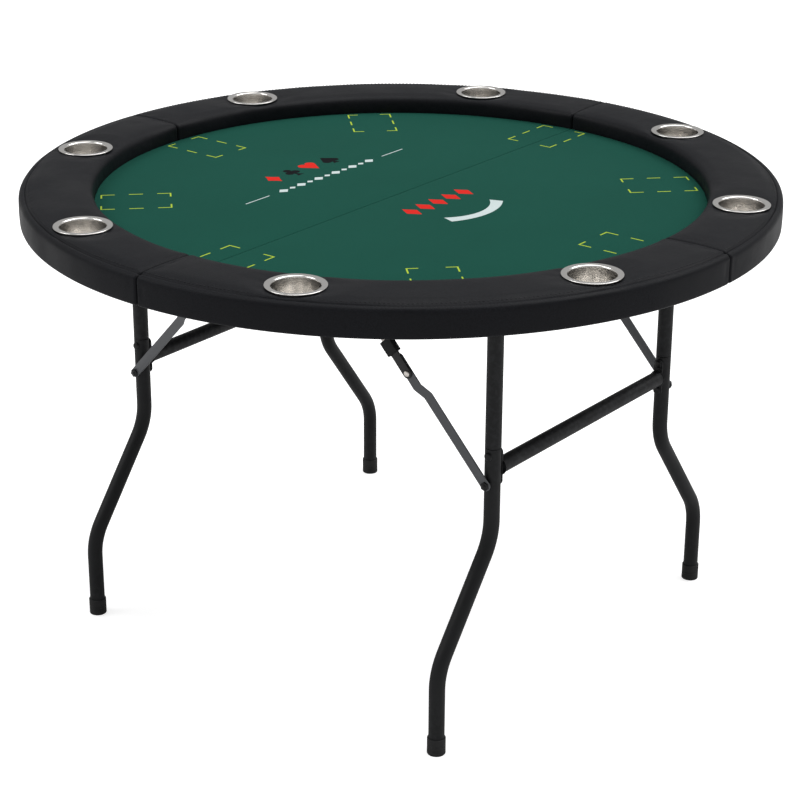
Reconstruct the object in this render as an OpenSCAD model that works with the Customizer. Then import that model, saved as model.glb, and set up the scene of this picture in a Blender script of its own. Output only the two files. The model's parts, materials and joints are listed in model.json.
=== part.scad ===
// Round card table: a two-half top with a padded rail and cup holders,
// on two folding leg frames with locking braces.
// Origin on the floor under the top's centre. +Z up. The Y axis lies under the centre seam,
// so the left leg frame stands at -X and the right one at +X. Front is -Y and back is +Y.

/* [Top] */
// Outside diameter over the padded rail
table_d = 1219.2; // [1200:0.4:1240]
// Height of the padded rail's top
rail_top = 758.5; // [750:0.5:766]
// Width of the padded rail
rail_w = 117.5; // [114:0.5:120]
// Height of the padded rail
rail_h = 50.5; // [48:0.5:54]
// Depth of the playing cloth below the rail's top
cloth_drop = 29.5; // [27:0.5:31]
// Thickness of the half boards
board_t = 15; // [12:0.5:16]
// Gap between the two halves of the top
seam_gap = 1; // [0.6:0.1:1.6]

/* [Cup holders] */
// Outside diameter of the flange
cup_flange_d = 90; // [86:0.5:92]
// Outside diameter of the body
cup_body_d = 72; // [68:0.5:74]
// Depth below the flange
cup_depth = 57; // [52:0.5:60]
// Radius of the circle that the cup holders stand on
cup_ring_r = 547; // [543:0.5:551]

/* [Leg frames] */
// Distance from the centre seam to a leg frame
frame_x = 363; // [355:1:370]
// Outside diameter of the tubes
tube_d = 25; // [24:0.5:26]
// Wall thickness of the tubes
tube_wall = 1.5; // [1:0.1:2]
// Distance from the middle to the straight part of a leg
leg_y = 240; // [235:1:245]
// Distance that a foot stands further out than the straight part
leg_splay = 132; // [129:3:138]
// Height where the slope and the ankle of a leg meet
ankle_z = 139; // [133:1:142]
// Radius of the bends
bend_r = 90; // [60:30:90]
// Height of the joint between upper tube and lower leg
sleeve_z = 464; // [462:1:468]
// Height of the crossbar
crossbar_z = 427; // [426:1:432]
// Height of a foot cap
foot_h = 28; // [24:1:32]

/* [Braces] */
// Height of the brace's lower pivot on the leg
brace_z = 406; // [404:1:408]
// Distance from the centre seam to the brace's anchor
anchor_x = 102; // [100:1:104]
// Width of the links
link_w = 16; // [14:0.5:17]
// Thickness of the links
link_t = 3; // [2.5:0.1:3]
// Length of a lock collar
collar_l = 25; // [22:1:28]

/* [Hidden] */
$fn = 64;

// Sides of the frame
left = -1;
right = 1;
front = -1;
back = 1;

// Colours
leather_c = "#2b2d30";
cloth_c = "#1f5546";
board_c = "#2a2623";
core_c = "#a58a68";
steel_c = "#c9c8c5";
frame_c = "#1d1e20";
zinc_c = "#b9b7b3";
foot_c = "#141414";

// Top, from the underside up
rail_bottom = rail_top - rail_h;
lip_t = 2;
lip_w = 24;
board_z = rail_bottom + lip_t;
board_top = board_z + board_t;
rail_out_r = table_d / 2;
rail_in_r = rail_out_r - rail_w;
board_r = rail_out_r - 6.6;
cloth_r = rail_in_r - 0.9;
core_in_r = rail_in_r + 8;
core_t = 17;
core_top = board_top + core_t;
rail_crown = 1.5;
rail_seam_a = 0.17;
// Line of glue between board and rail core, and slack between the cover's lip and the board
glue_t = 0.1;
// Slack between the padded rail and what it wraps
pad_slack = 0.2;

// Cup holders
cup_wall = 1;
cup_hole_r = cup_body_d / 2 + 0.6;
flange_t = 1.5;
cup_top = rail_top + flange_t;
cup_bottom = cup_top - cup_depth;

// Board screws
screw_r = 2;
screw_l = 12;
screw_head_r = 3.8;
screw_head_h = 2;
plate_t = 3;
plate_z = board_z - plate_t;

// Joining plates under the centre seam
joiner_size = [90, 32];
joiner_ys = [-420, -140, 140, 420];
joiner_hole = [32, 9];

// Leg brackets and their pivots
pivot_z = board_z - 20;
pivot_pin_r = 4;
bracket_size = [48, 32];
bracket_hole = [17, 7];
bracket_ear_r = 12;
ear_gap = tube_d + 1;
tube_r = tube_d / 2;
tube_top = pivot_z + 9; // clears the board as the leg swings
running = 0.06;

// Lower leg: the slope runs 3 out for every 4 down, which is 5 along
slope_out = 3 / 5;
slope_down = 4 / 5;
bend_a = atan2(slope_out, slope_down);
bend_run = bend_r * (1 - slope_down) / slope_out;
knee_z = ankle_z + leg_splay * slope_down / slope_out;
foot_y = leg_y + leg_splay;
slope_l = leg_splay / slope_out - 2 * bend_run;
// Straight lengths reach this far into the bends, whose wall is a little thicker on both sides
bend_bite = 0.6;
bend_swell = 0.15;
leg_end_z = 4;
spigot_l = 45;
swage_l = 8;
spigot_r = tube_r - tube_wall - 0.1;
foot_wall = 1.9;
foot_r = tube_r + foot_wall;

// Crossbar plates and their bolts
tube_side_y = leg_y - tube_r;
cross_plate_w = 16;
bar_bolt_z = sleeve_z - 12;
bar_bolt_r = 3;
brace_bolt_r = 4;
bolt_head_r = 6.5;
bolt_head_h = 3;

// Brace: an equal-reach linkage that is straight when the leg stands and doubled when it is folded
brace_reach = pivot_z - brace_z;
anchor_in = frame_x - anchor_x;
brace_a = atan2(brace_reach, anchor_in);
brace_len = norm([anchor_in, brace_reach]);
lower_link_l = (brace_len + (brace_reach - anchor_in)) / 2;
// Planes of the flat links, measured out from the table's middle
brace_washer_t = 3.7;
link_slack = 0.3;
lower_link_y = leg_y + tube_r + brace_washer_t;
joggle = 10;
upper_link_y = lower_link_y + joggle + link_t + link_slack;
anchor_ear_y = upper_link_y - link_slack - plate_t;
joggle_start = 44;
joggle_end = 25;
tail_l = 34;
rivet_r = 3;
anchor_pin_r = 3.5;
anchor_size = [30, 30];
anchor_hole_x = 9;
anchor_ear_r = 9;
collar_gap = 2;
collar_w = 22;
collar_wall = 3.6;
collar_slack = 0.3;

// ---------- Placing ----------

// Moves what is drawn for the right back quarter to the quarter on the given sides
module quarter(sx, sy) {
    mirror([sx < 0 ? 1 : 0, 0, 0]) mirror([0, sy < 0 ? 1 : 0, 0]) children();
}

// Repeats what is drawn for the right back quarter in all four quarters
module four_quarters() {
    for (sx = [left, right], sy = [front, back]) quarter(sx, sy) children();
}

module at_cup(k) {
    rotate([0, 0, 45 * k - 22.5]) translate([cup_ring_r, 0, 0]) children();
}

// A shape drawn in X and Z, standing in the XZ plane, from y0 outwards
module upright(y0, t) {
    translate([0, y0 + t, 0]) rotate([90, 0, 0]) linear_extrude(t) children();
}

// A round bar along Y
module bar_y(x, z, r, y0, y1) {
    translate([x, y0, z]) rotate([-90, 0, 0]) cylinder(r = r, h = y1 - y0);
}

// A domed head along Y whose flat side is at y0; it stands out along +Y, or along -Y if h is negative
module dome_y(x, z, r, y0, h) {
    translate([x, y0, z]) rotate([h > 0 ? -90 : 90, 0, 0]) rotate_extrude()
        polygon(concat([[0, 0], [r, 0]], dome_curve(r, abs(h))));
}

function dome_curve(r, h) = [for (a = [15:15:90]) [r * cos(a), h * (0.35 + 0.65 * sin(a))]];

// Points of a round stretch of an outline
function arc(centre, r, a0, a1, n = 6) =
    [for (i = [0:n]) centre + r * [cos(a0 + (a1 - a0) * i / n), sin(a0 + (a1 - a0) * i / n)]];

// ---------- Top ----------

module half_space(side) {
    translate([side * (table_d + seam_gap) / 2, 0, board_z])
        cube([table_d, table_d + 2, 4 * rail_h], center = true);
}

function cups_of(side) = side < 0 ? [3:6] : [-1:2];

// Screw places of the right back quarter, and of the joining plates on the right side
quarter_screws = concat(
    [for (x = [-1, 1], y = [-1, 1]) [frame_x + x * bracket_hole.x, leg_y + y * bracket_hole.y]],
    [for (x = [-1, 1]) [anchor_x + x * anchor_hole_x, leg_y + 10]]
);
joiner_screws = [for (y = joiner_ys, s = [-1, 1]) [joiner_hole.x, y + s * joiner_hole.y]];

module at_screws() {
    four_quarters() for (p = quarter_screws) translate([p.x, p.y, plate_z]) children();
    for (sx = [left, right], p = joiner_screws) translate([sx * p.x, p.y, plate_z]) children();
}

module half_board(side) {
    color(board_c) difference() {
        intersection() {
            translate([0, 0, board_z]) cylinder(r = board_r, h = board_t, $fn = 180);
            half_space(side);
        }
        for (k = cups_of(side)) at_cup(k) translate([0, 0, board_z - 1])
            cylinder(r = cup_hole_r, h = board_t + 2);
        at_screws() cylinder(r = screw_r, h = plate_t + screw_l);
    }
}

module playing_surface(side) {
    color(cloth_c) intersection() {
        translate([0, 0, board_top])
            cylinder(r = cloth_r, h = rail_top - cloth_drop - board_top, $fn = 180);
        half_space(side);
    }
}

module rail_core(side) {
    color(core_c) difference() {
        rotate([0, 0, side < 0 ? 90.1 : -89.9]) rotate_extrude(angle = 179.8, $fn = 180)
            translate([core_in_r, board_top + glue_t]) square([board_r - core_in_r, core_t - glue_t]);
        for (k = cups_of(side)) at_cup(k) translate([0, 0, board_top - 1])
            cylinder(r = cup_hole_r, h = core_t + 2);
    }
}

// Cross-section of the padded rail: crowned top, round shoulders, and a lip under the board's edge
inner_shoulder = 8;
outer_shoulder = 7;
crown_l = rail_w - inner_shoulder - outer_shoulder;
rail_outline = concat(
    [[rail_in_r, board_top]],
    arc([rail_in_r + inner_shoulder, rail_top - rail_crown - inner_shoulder], inner_shoulder, 180, 90),
    [for (u = [0.1:0.1:0.9])
        [rail_in_r + inner_shoulder + crown_l * u, rail_top - rail_crown * pow(2 * u - 1, 2)]],
    arc([rail_out_r - outer_shoulder, rail_top - rail_crown - outer_shoulder], outer_shoulder, 90, 0),
    arc([rail_out_r - 4, rail_bottom + 4], 4, 0, -90),
    [[rail_out_r - lip_w, rail_bottom], [rail_out_r - lip_w, board_z - glue_t],
     [board_r + pad_slack, board_z - glue_t], [board_r + pad_slack, core_top + pad_slack],
     [core_in_r - pad_slack, core_top + pad_slack], [core_in_r - pad_slack, board_top]]
);

module rail_pad(k) {
    color(leather_c) difference() {
        rotate([0, 0, 90 * (k - 1) + rail_seam_a / 2])
            rotate_extrude(angle = 90 - rail_seam_a, $fn = 180) polygon(rail_outline);
        for (c = [2 * k - 1, 2 * k]) at_cup(c) translate([0, 0, rail_bottom - 1])
            cylinder(r = cup_hole_r, h = rail_h + 2);
    }
}

module cup_holder(k) {
    body_r = cup_body_d / 2;
    floor_r = 5;
    color(steel_c) at_cup(k) rotate_extrude() polygon(concat(
        [[0, cup_bottom]],
        arc([body_r - floor_r, cup_bottom + floor_r], floor_r, -90, 0),
        [[body_r, rail_top + pad_slack], [cup_flange_d / 2, rail_top + pad_slack]],
        arc([cup_flange_d / 2 - 1.2, cup_top - 1.2], 1.2, 0, 90, 4),
        arc([body_r - cup_wall + 2.4, cup_top - 2.4], 2.4, 90, 180, 4),
        arc([body_r - floor_r, cup_bottom + floor_r], floor_r - cup_wall, 0, -90),
        [[0, cup_bottom + cup_wall]]
    ));
}

// ---------- Under the top ----------

module joining_plates() {
    color(zinc_c) for (y = joiner_ys) difference() {
        translate([-joiner_size.x / 2, y - joiner_size.y / 2, plate_z])
            cube([joiner_size.x, joiner_size.y, plate_t]);
        at_screws() translate([0, 0, -1]) cylinder(r = screw_r + 0.1, h = plate_t + 2);
    }
}

module board_screws() {
    color(zinc_c) at_screws() {
        translate([0, 0, -screw_head_h]) cylinder(r = screw_head_r, h = screw_head_h);
        cylinder(r = screw_r, h = plate_t + screw_l);
    }
}

// A hanging ear: round about its pin and straight up to its plate
module ear(x, r, hole_r) {
    difference() {
        union() {
            translate([x, pivot_z]) circle(r = r);
            translate([x - r, pivot_z]) square([2 * r, plate_z + 1 - pivot_z]);
        }
        translate([x, pivot_z]) circle(r = hole_r);
    }
}

module leg_brackets() {
    color(frame_c) four_quarters() difference() {
        union() {
            translate([frame_x - bracket_size.x / 2, leg_y - bracket_size.y / 2, plate_z])
                cube([bracket_size.x, bracket_size.y, plate_t]);
            upright(leg_y + ear_gap / 2, plate_t) ear(frame_x, bracket_ear_r, pivot_pin_r + running);
            upright(leg_y - ear_gap / 2 - plate_t, plate_t)
                ear(frame_x, bracket_ear_r, pivot_pin_r + running);
        }
        for (p = quarter_screws) translate([p.x, p.y, plate_z - 1])
            cylinder(r = screw_r + 0.1, h = plate_t + 2);
    }
}

module leg_pivot_pins() {
    reach = ear_gap / 2 + plate_t + 0.2;
    color(zinc_c) four_quarters() {
        bar_y(frame_x, pivot_z, pivot_pin_r, leg_y - reach, leg_y + reach);
        dome_y(frame_x, pivot_z, pivot_pin_r + 2.5, leg_y + reach, 2.5);
        dome_y(frame_x, pivot_z, pivot_pin_r + 2.5, leg_y - reach, -2.5);
    }
}

module brace_anchors() {
    color(zinc_c) four_quarters() difference() {
        union() {
            translate([anchor_x - anchor_size.x / 2, anchor_ear_y + plate_t - anchor_size.y, plate_z])
                cube([anchor_size.x, anchor_size.y, plate_t]);
            upright(anchor_ear_y, plate_t) ear(anchor_x, anchor_ear_r, anchor_pin_r + running);
        }
        for (p = quarter_screws) translate([p.x, p.y, plate_z - 1])
            cylinder(r = screw_r + 0.1, h = plate_t + 2);
    }
}

module anchor_pins() {
    inner_y = anchor_ear_y - 0.2;
    outer_y = upper_link_y + link_t + link_slack;
    color(zinc_c) four_quarters() {
        bar_y(anchor_x, pivot_z, anchor_pin_r, inner_y, outer_y);
        dome_y(anchor_x, pivot_z, anchor_pin_r + 2, inner_y, -2);
        dome_y(anchor_x, pivot_z, anchor_pin_r + 2, outer_y, 2);
    }
}

// ---------- Leg frames, drawn for the right back quarter ----------

module upper_tube(sx, sy) {
    color(frame_c) quarter(sx, sy) difference() {
        translate([frame_x, leg_y, sleeve_z]) cylinder(r = tube_r, h = tube_top - sleeve_z);
        translate([frame_x, leg_y, sleeve_z - 1])
            cylinder(r = tube_r - tube_wall, h = tube_top - sleeve_z + 2);
        bar_y(frame_x, pivot_z, pivot_pin_r + running, leg_y - tube_d, leg_y + tube_d);
    }
}

// The tube of a lower leg is made of five lengths that meet end to end

// Straight length with the swaged spigot that goes into the upper tube
module straight_length() {
    start_z = knee_z + bend_run - bend_bite;
    difference() {
        translate([frame_x, leg_y, 0]) rotate_extrude() polygon([
            [tube_r - tube_wall, start_z], [tube_r, start_z], [tube_r, sleeve_z], [spigot_r, sleeve_z],
            [spigot_r, sleeve_z + spigot_l], [spigot_r - tube_wall, sleeve_z + spigot_l],
            [spigot_r - tube_wall, sleeve_z - swage_l], [tube_r - tube_wall, sleeve_z - swage_l]
        ]);
        bar_y(frame_x, bar_bolt_z, bar_bolt_r + 0.1, leg_y - tube_d, leg_y + tube_d);
        bar_y(frame_x, brace_z, brace_bolt_r + 0.1, leg_y - tube_d, leg_y + tube_d);
    }
}

module tube_ring(swell = 0) {
    difference() {
        circle(r = tube_r + swell);
        circle(r = tube_r - tube_wall - swell);
    }
}

module bend(centre, start_a) {
    translate([frame_x, centre[0], centre[1]]) rotate([90, 0, 90]) rotate([0, 0, start_a])
        rotate_extrude(angle = bend_a, $fn = 96) translate([bend_r, 0]) tube_ring(bend_swell);
}

module lower_leg(sx, sy) {
    slope_y = leg_y + (1 - slope_down) * bend_r - slope_out * bend_bite;
    slope_z = knee_z + bend_run - slope_out * bend_r + slope_down * bend_bite;
    ankle_top = ankle_z - bend_run;
    color(frame_c) quarter(sx, sy) {
        straight_length();
        bend([leg_y + bend_r, knee_z + bend_run], 180);
        translate([frame_x, slope_y, slope_z]) rotate([180 + bend_a, 0, 0])
            linear_extrude(slope_l + 2 * bend_bite) tube_ring();
        bend([foot_y - bend_r, ankle_top], 0);
        translate([frame_x, foot_y, leg_end_z]) linear_extrude(ankle_top - leg_end_z + bend_bite)
            tube_ring();
    }
}

module foot_cap() {
    lip = 1.2;
    translate([frame_x, foot_y, 0]) rotate_extrude() polygon([
        [0, 0], [foot_r - lip, 0], [foot_r, lip], [foot_r, foot_h - lip], [foot_r - lip, foot_h],
        [tube_r + 0.1, foot_h], [tube_r + 0.1, leg_end_z], [0, leg_end_z]
    ]);
}

module feet(sx) {
    color(foot_c) for (sy = [front, back]) quarter(sx, sy) foot_cap();
}

module crossbar(sx) {
    end_y = tube_side_y - plate_t;
    color(frame_c) quarter(sx, back) {
        difference() {
            bar_y(frame_x, crossbar_z, tube_r, -end_y, end_y);
            bar_y(frame_x, crossbar_z, tube_r - tube_wall, -end_y - 1, end_y + 1);
        }
        for (sy = [front, back]) mirror([0, sy < 0 ? 1 : 0, 0]) upright(end_y, plate_t) difference() {
            union() {
                for (z = [brace_z, bar_bolt_z]) translate([frame_x, z]) circle(r = cross_plate_w / 2);
                translate([frame_x - cross_plate_w / 2, brace_z])
                    square([cross_plate_w, bar_bolt_z - brace_z]);
            }
            translate([frame_x, brace_z]) circle(r = brace_bolt_r + 0.1);
            translate([frame_x, bar_bolt_z]) circle(r = bar_bolt_r + 0.1);
        }
    }
}

// Two bolts through each leg and crossbar plate; the brace's one ends flush with the tube's outside
module frame_bolts(sx) {
    plate_y = tube_side_y - plate_t;
    outer_y = leg_y + tube_r;
    color(frame_c) for (sy = [front, back]) quarter(sx, sy) {
        bar_y(frame_x, bar_bolt_z, bar_bolt_r, plate_y, outer_y);
        dome_y(frame_x, bar_bolt_z, bolt_head_r, plate_y, -bolt_head_h);
        dome_y(frame_x, bar_bolt_z, bolt_head_r, outer_y, bolt_head_h);
        bar_y(frame_x, brace_z, brace_bolt_r, plate_y, outer_y - 0.2);
        dome_y(frame_x, brace_z, bolt_head_r, plate_y, -bolt_head_h);
    }
}

// ---------- Braces, drawn for the right back quarter ----------
// Along a brace, X runs from its pivot on the leg to its anchor under the top, and Y runs outwards.

module on_brace(sx, sy) {
    quarter(sx, sy) translate([frame_x, 0, brace_z]) rotate([0, 180 + brace_a, 0]) children();
}

// A flat bar from x0 to x1 with a round end at each x that is listed
module flat_bar(x0, x1, y0, round_ends, holes) {
    upright(y0, link_t) difference() {
        union() {
            translate([x0, -link_w / 2]) square([x1 - x0, link_w]);
            for (x = round_ends) translate([x, 0]) circle(r = link_w / 2);
        }
        for (h = holes) translate([h[0], 0]) circle(r = h[1]);
    }
}

module lower_link(sx, sy) {
    ramp_0 = lower_link_l - joggle_start;
    ramp_1 = lower_link_l - joggle_end;
    tail = lower_link_l + tail_l - link_w / 2;
    top_y = lower_link_y + joggle;
    color(frame_c) on_brace(sx, sy) {
        flat_bar(0, ramp_0, lower_link_y, [0], [[0, brace_bolt_r + 0.05]]);
        translate([0, 0, -link_w / 2]) linear_extrude(link_w) polygon([
            [ramp_0, lower_link_y], [ramp_1, top_y], [ramp_1, top_y + link_t], [ramp_0, lower_link_y + link_t]
        ]);
        flat_bar(ramp_1, tail, top_y, [tail], [[lower_link_l, rivet_r + running]]);
    }
}

module brace_bolt(sx, sy) {
    color(frame_c) on_brace(sx, sy) {
        bar_y(0, 0, brace_bolt_r, leg_y + tube_r + 0.4, lower_link_y + link_t);
        bar_y(0, 0, bolt_head_r, leg_y + tube_r + 0.4, lower_link_y);
        dome_y(0, 0, bolt_head_r + 1, lower_link_y + link_t, bolt_head_h + 1);
    }
}

module upper_link(sx, sy) {
    color(zinc_c) on_brace(sx, sy)
        flat_bar(lower_link_l, brace_len, upper_link_y, [lower_link_l, brace_len],
            [[lower_link_l, rivet_r + 0.05], [brace_len, anchor_pin_r + running]]);
}

module knee_rivet(sx, sy) {
    inner_y = lower_link_y + joggle - link_slack;
    outer_y = upper_link_y + link_t;
    color(zinc_c) on_brace(sx, sy) {
        bar_y(lower_link_l, 0, rivet_r, inner_y, outer_y);
        dome_y(lower_link_l, 0, rivet_r + 2, inner_y, -2);
        dome_y(lower_link_l, 0, rivet_r + 2, outer_y, 2.2);
    }
}

module lock_collar(sx, sy) {
    x0 = lower_link_l + tail_l + collar_gap;
    y0 = upper_link_y - collar_slack - collar_wall;
    slot = [link_t + 2 * collar_slack, link_w + 2 * collar_slack];
    color(frame_c) on_brace(sx, sy) difference() {
        translate([x0, y0, -collar_w / 2]) cube([collar_l, slot[0] + 2 * collar_wall, collar_w]);
        translate([x0 - 1, upper_link_y - collar_slack, -slot[1] / 2])
            cube([collar_l + 2, slot[0], slot[1]]);
    }
}

half_board(left);  // left_board
half_board(right);  // right_board
playing_surface(left);  // left_playing_surface
playing_surface(right);  // right_playing_surface
rail_core(left);  // left_rail_core
rail_core(right);  // right_rail_core
rail_pad(1);  // rail_pad_1
rail_pad(2);  // rail_pad_2
rail_pad(3);  // rail_pad_3
rail_pad(4);  // rail_pad_4
cup_holder(1);  // cup_holder_1
cup_holder(2);  // cup_holder_2
cup_holder(3);  // cup_holder_3
cup_holder(4);  // cup_holder_4
cup_holder(5);  // cup_holder_5
cup_holder(6);  // cup_holder_6
cup_holder(7);  // cup_holder_7
cup_holder(8);  // cup_holder_8
joining_plates();
board_screws();
leg_brackets();
leg_pivot_pins();
brace_anchors();
anchor_pins();
upper_tube(left, front);  // left_front_upper_tube
upper_tube(left, back);  // left_back_upper_tube
upper_tube(right, front);  // right_front_upper_tube
upper_tube(right, back);  // right_back_upper_tube
lower_leg(left, front);  // left_front_lower_leg
lower_leg(left, back);  // left_back_lower_leg
lower_leg(right, front);  // right_front_lower_leg
lower_leg(right, back);  // right_back_lower_leg
crossbar(left);  // left_crossbar
crossbar(right);  // right_crossbar
feet(left);  // left_feet
feet(right);  // right_feet
frame_bolts(left);  // left_frame_bolts
frame_bolts(right);  // right_frame_bolts
lower_link(left, front);  // left_front_lower_link
lower_link(left, back);  // left_back_lower_link
lower_link(right, front);  // right_front_lower_link
lower_link(right, back);  // right_back_lower_link
upper_link(left, front);  // left_front_upper_link
upper_link(left, back);  // left_back_upper_link
upper_link(right, front);  // right_front_upper_link
upper_link(right, back);  // right_back_upper_link
lock_collar(left, front);  // left_front_lock_collar
lock_collar(left, back);  // left_back_lock_collar
lock_collar(right, front);  // right_front_lock_collar
lock_collar(right, back);  // right_back_lock_collar
brace_bolt(left, front);  // left_front_brace_bolt
brace_bolt(left, back);  // left_back_brace_bolt
brace_bolt(right, front);  // right_front_brace_bolt
brace_bolt(right, back);  // right_back_brace_bolt
knee_rivet(left, front);  // left_front_knee_rivet
knee_rivet(left, back);  // left_back_knee_rivet
knee_rivet(right, front);  // right_front_knee_rivet
knee_rivet(right, back);  // right_back_knee_rivet
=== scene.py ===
"""Looks of a round folding card table: padded rail, printed cloth, cup holders and tubular legs."""
import json
import math

import bmesh
import bpy
from bpy.props import FloatProperty, FloatVectorProperty, IntProperty, PointerProperty
from mathutils import Matrix, Vector, noise


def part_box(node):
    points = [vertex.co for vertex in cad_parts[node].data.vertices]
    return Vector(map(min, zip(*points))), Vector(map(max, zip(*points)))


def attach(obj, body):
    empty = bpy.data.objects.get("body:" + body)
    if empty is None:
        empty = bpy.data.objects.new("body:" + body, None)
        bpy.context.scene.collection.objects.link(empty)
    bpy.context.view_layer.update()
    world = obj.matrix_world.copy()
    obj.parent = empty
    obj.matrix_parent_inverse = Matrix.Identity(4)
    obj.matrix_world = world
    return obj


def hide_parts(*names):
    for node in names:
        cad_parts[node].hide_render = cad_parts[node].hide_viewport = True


bl_info = {
    "name": "Card Table",
    "version": (1, 0, 0),
    "blender": (4, 5, 0),
    "location": "View3D > Sidebar > Card Table",
    "description": "Builds the looks of a round folding card table around its packed frame",
    "category": "Object",
}

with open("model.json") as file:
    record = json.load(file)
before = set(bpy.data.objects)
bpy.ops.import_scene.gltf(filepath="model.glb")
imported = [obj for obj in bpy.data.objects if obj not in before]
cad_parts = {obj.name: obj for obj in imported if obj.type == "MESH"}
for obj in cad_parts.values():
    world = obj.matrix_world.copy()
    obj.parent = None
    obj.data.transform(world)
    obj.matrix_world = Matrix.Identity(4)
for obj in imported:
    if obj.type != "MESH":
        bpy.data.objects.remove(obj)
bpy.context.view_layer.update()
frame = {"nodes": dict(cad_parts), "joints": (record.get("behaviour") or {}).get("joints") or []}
MM = 0.001
SIDES = {"left": -1, "right": 1}
ROWS = {"front": -1, "back": 1}
QUARTERS = [(side, row) for side in SIDES for row in ROWS]


# ---------- Places taken from the frame ----------

def centre(node):
    low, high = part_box(node)
    return (low + high) / 2


def joint_place(name):
    return Vector(next(j["pos_m"] for j in frame["joints"] if j["name"] == name))


RAIL_LOW, RAIL_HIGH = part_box("rail_pad_1")
RAIL_OUT = RAIL_HIGH.x
RAIL_BOTTOM = RAIL_LOW.z
RAIL_TOP = RAIL_HIGH.z
CLOTH_LOW, CLOTH_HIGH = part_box("right_playing_surface")
CLOTH_R = CLOTH_HIGH.y
CLOTH_Z = CLOTH_HIGH.z
SEAM_HALF = CLOTH_LOW.x
RAIL_IN = CLOTH_R + 0.9 * MM
CUP_LOW, CUP_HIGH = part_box("cup_holder_1")
CUP_RING = math.hypot(*centre("cup_holder_1").xy)
TUBE_LOW, TUBE_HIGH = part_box("right_back_upper_tube")
TUBE_R = (TUBE_HIGH.x - TUBE_LOW.x) / 2
FRAME_X = centre("right_back_upper_tube").x
LEG_Y = centre("right_back_upper_tube").y
FEET_LOW, FEET_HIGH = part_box("right_feet")
FOOT_R = (FEET_HIGH.x - FEET_LOW.x) / 2
FOOT_Y = FEET_HIGH.y - FOOT_R
BRACE_PIVOT = centre("right_back_brace_bolt")
KNEE = joint_place("right_back_knee_hinge")
ANCHOR = joint_place("right_back_anchor_hinge")
LOWER_LINK_L = math.hypot(KNEE.x - BRACE_PIVOT.x, KNEE.z - BRACE_PIVOT.z)
BRACE_L = math.hypot(ANCHOR.x - BRACE_PIVOT.x, ANCHOR.z - BRACE_PIVOT.z)
UPPER_LINK_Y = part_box("right_back_upper_link")[0].y
LINK_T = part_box("right_back_upper_link")[1].y - UPPER_LINK_Y
LOWER_LINK_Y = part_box("right_back_lower_link")[0].y
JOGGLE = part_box("right_back_lower_link")[1].y - LOWER_LINK_Y - LINK_T


# ---------- Settings ----------

def colour(name, description, default):
    return FloatVectorProperty(name=name, description=description, subtype="COLOR", size=3,
                               min=0, max=1, default=default)


def length(name, description, default):
    return FloatProperty(name=name, description=description, subtype="DISTANCE", unit="LENGTH",
                         min=0, default=default)


class RailSettings(bpy.types.PropertyGroup):
    leather: colour("Leather", "Colour of the rail's cover", (0.0102, 0.0108, 0.0136))
    thread: colour("Thread", "Colour of the stitching", (0.009, 0.0095, 0.011))
    cell: length("Cell", "Spacing of the cover's mesh", 4.5 * MM)
    swell_cap: length("Swell", "Most that the cover may rise over its foam", 2.2 * MM)
    cover_t: length("Cover", "Thickness of the cover", 1.4 * MM)
    stitch_pitch: length("Stitch pitch", "Distance from stitch to stitch", 6.5 * MM)


class ClothSettings(bpy.types.PropertyGroup):
    cloth: colour("Cloth", "Colour of the playing cloth", (0.0100, 0.079, 0.057))
    mark: colour("Marks", "Colour of the seat marks", (0.50, 0.68, 0.06))
    red: colour("Red", "Colour of the red suits", (0.80, 0.028, 0.02))
    black: colour("Black", "Colour of the black suits", (0.008, 0.009, 0.011))
    white: colour("White", "Colour of the pale lines", (0.70, 0.80, 0.80))
    box_w: length("Box width", "Width of a seat mark", 78 * MM)
    seam_box_w: length("Seam box width", "Width of a seat mark on the centre seam", 89 * MM)
    box_l: length("Box length", "Length of a seat mark", 113 * MM)
    box_ring: length("Box ring", "Distance from the centre to a seat mark's middle", 425 * MM)
    line_w: length("Line", "Width of a seat mark's line", 2.5 * MM)
    suit_h: length("Suit height", "Height of a suit", 38 * MM)


class CupSettings(bpy.types.PropertyGroup):
    steel: colour("Steel", "Colour of the cup holders", (0.94, 0.92, 0.89))
    segments: IntProperty(name="Segments", description="Segments round a cup holder",
                          min=32, default=96)


class FrameSettings(bpy.types.PropertyGroup):
    paint: colour("Paint", "Powder coat of the frames", (0.0085, 0.009, 0.010))
    zinc: colour("Zinc", "Plating of links and plates", (0.66, 0.62, 0.58))
    rubber: colour("Rubber", "Colour of the foot caps", (0.006, 0.006, 0.0065))
    board: colour("Board", "Underside of the boards", (0.020, 0.017, 0.015))
    bend_r: length("Bend radius", "Radius of the leg tubes' bends", 90 * MM)
    ankle_z: length("Ankle height", "Height where slope and ankle meet", 139 * MM)
    segments: IntProperty(name="Segments", description="Segments round a tube", min=16, default=40)


class StageSettings(bpy.types.PropertyGroup):
    azimuth: FloatProperty(name="Azimuth", description="Turn of the camera round the table",
                           subtype="ANGLE", default=math.radians(37.9))
    elevation: FloatProperty(name="Elevation", description="Angle of the camera above the floor",
                             subtype="ANGLE", default=math.radians(22.63))
    roll: FloatProperty(name="Roll", description="Tilt of the camera", subtype="ANGLE",
                        default=math.radians(0.3))
    distance: length("Distance", "Distance from the camera to its aim", 3.4833)
    aim: FloatVectorProperty(name="Aim", description="Point that the camera looks at",
                             subtype="TRANSLATION", size=3, default=(0.10255, -0.13175, 0.43627))
    lens: FloatProperty(name="Lens", description="Focal length in millimetres", default=98.23)


# ---------- Mesh helpers ----------

def sharpen(bm, angle):
    for face in bm.faces:
        face.smooth = True
    for edge in bm.edges:
        edge.smooth = edge.calc_face_angle(0) < angle


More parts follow.
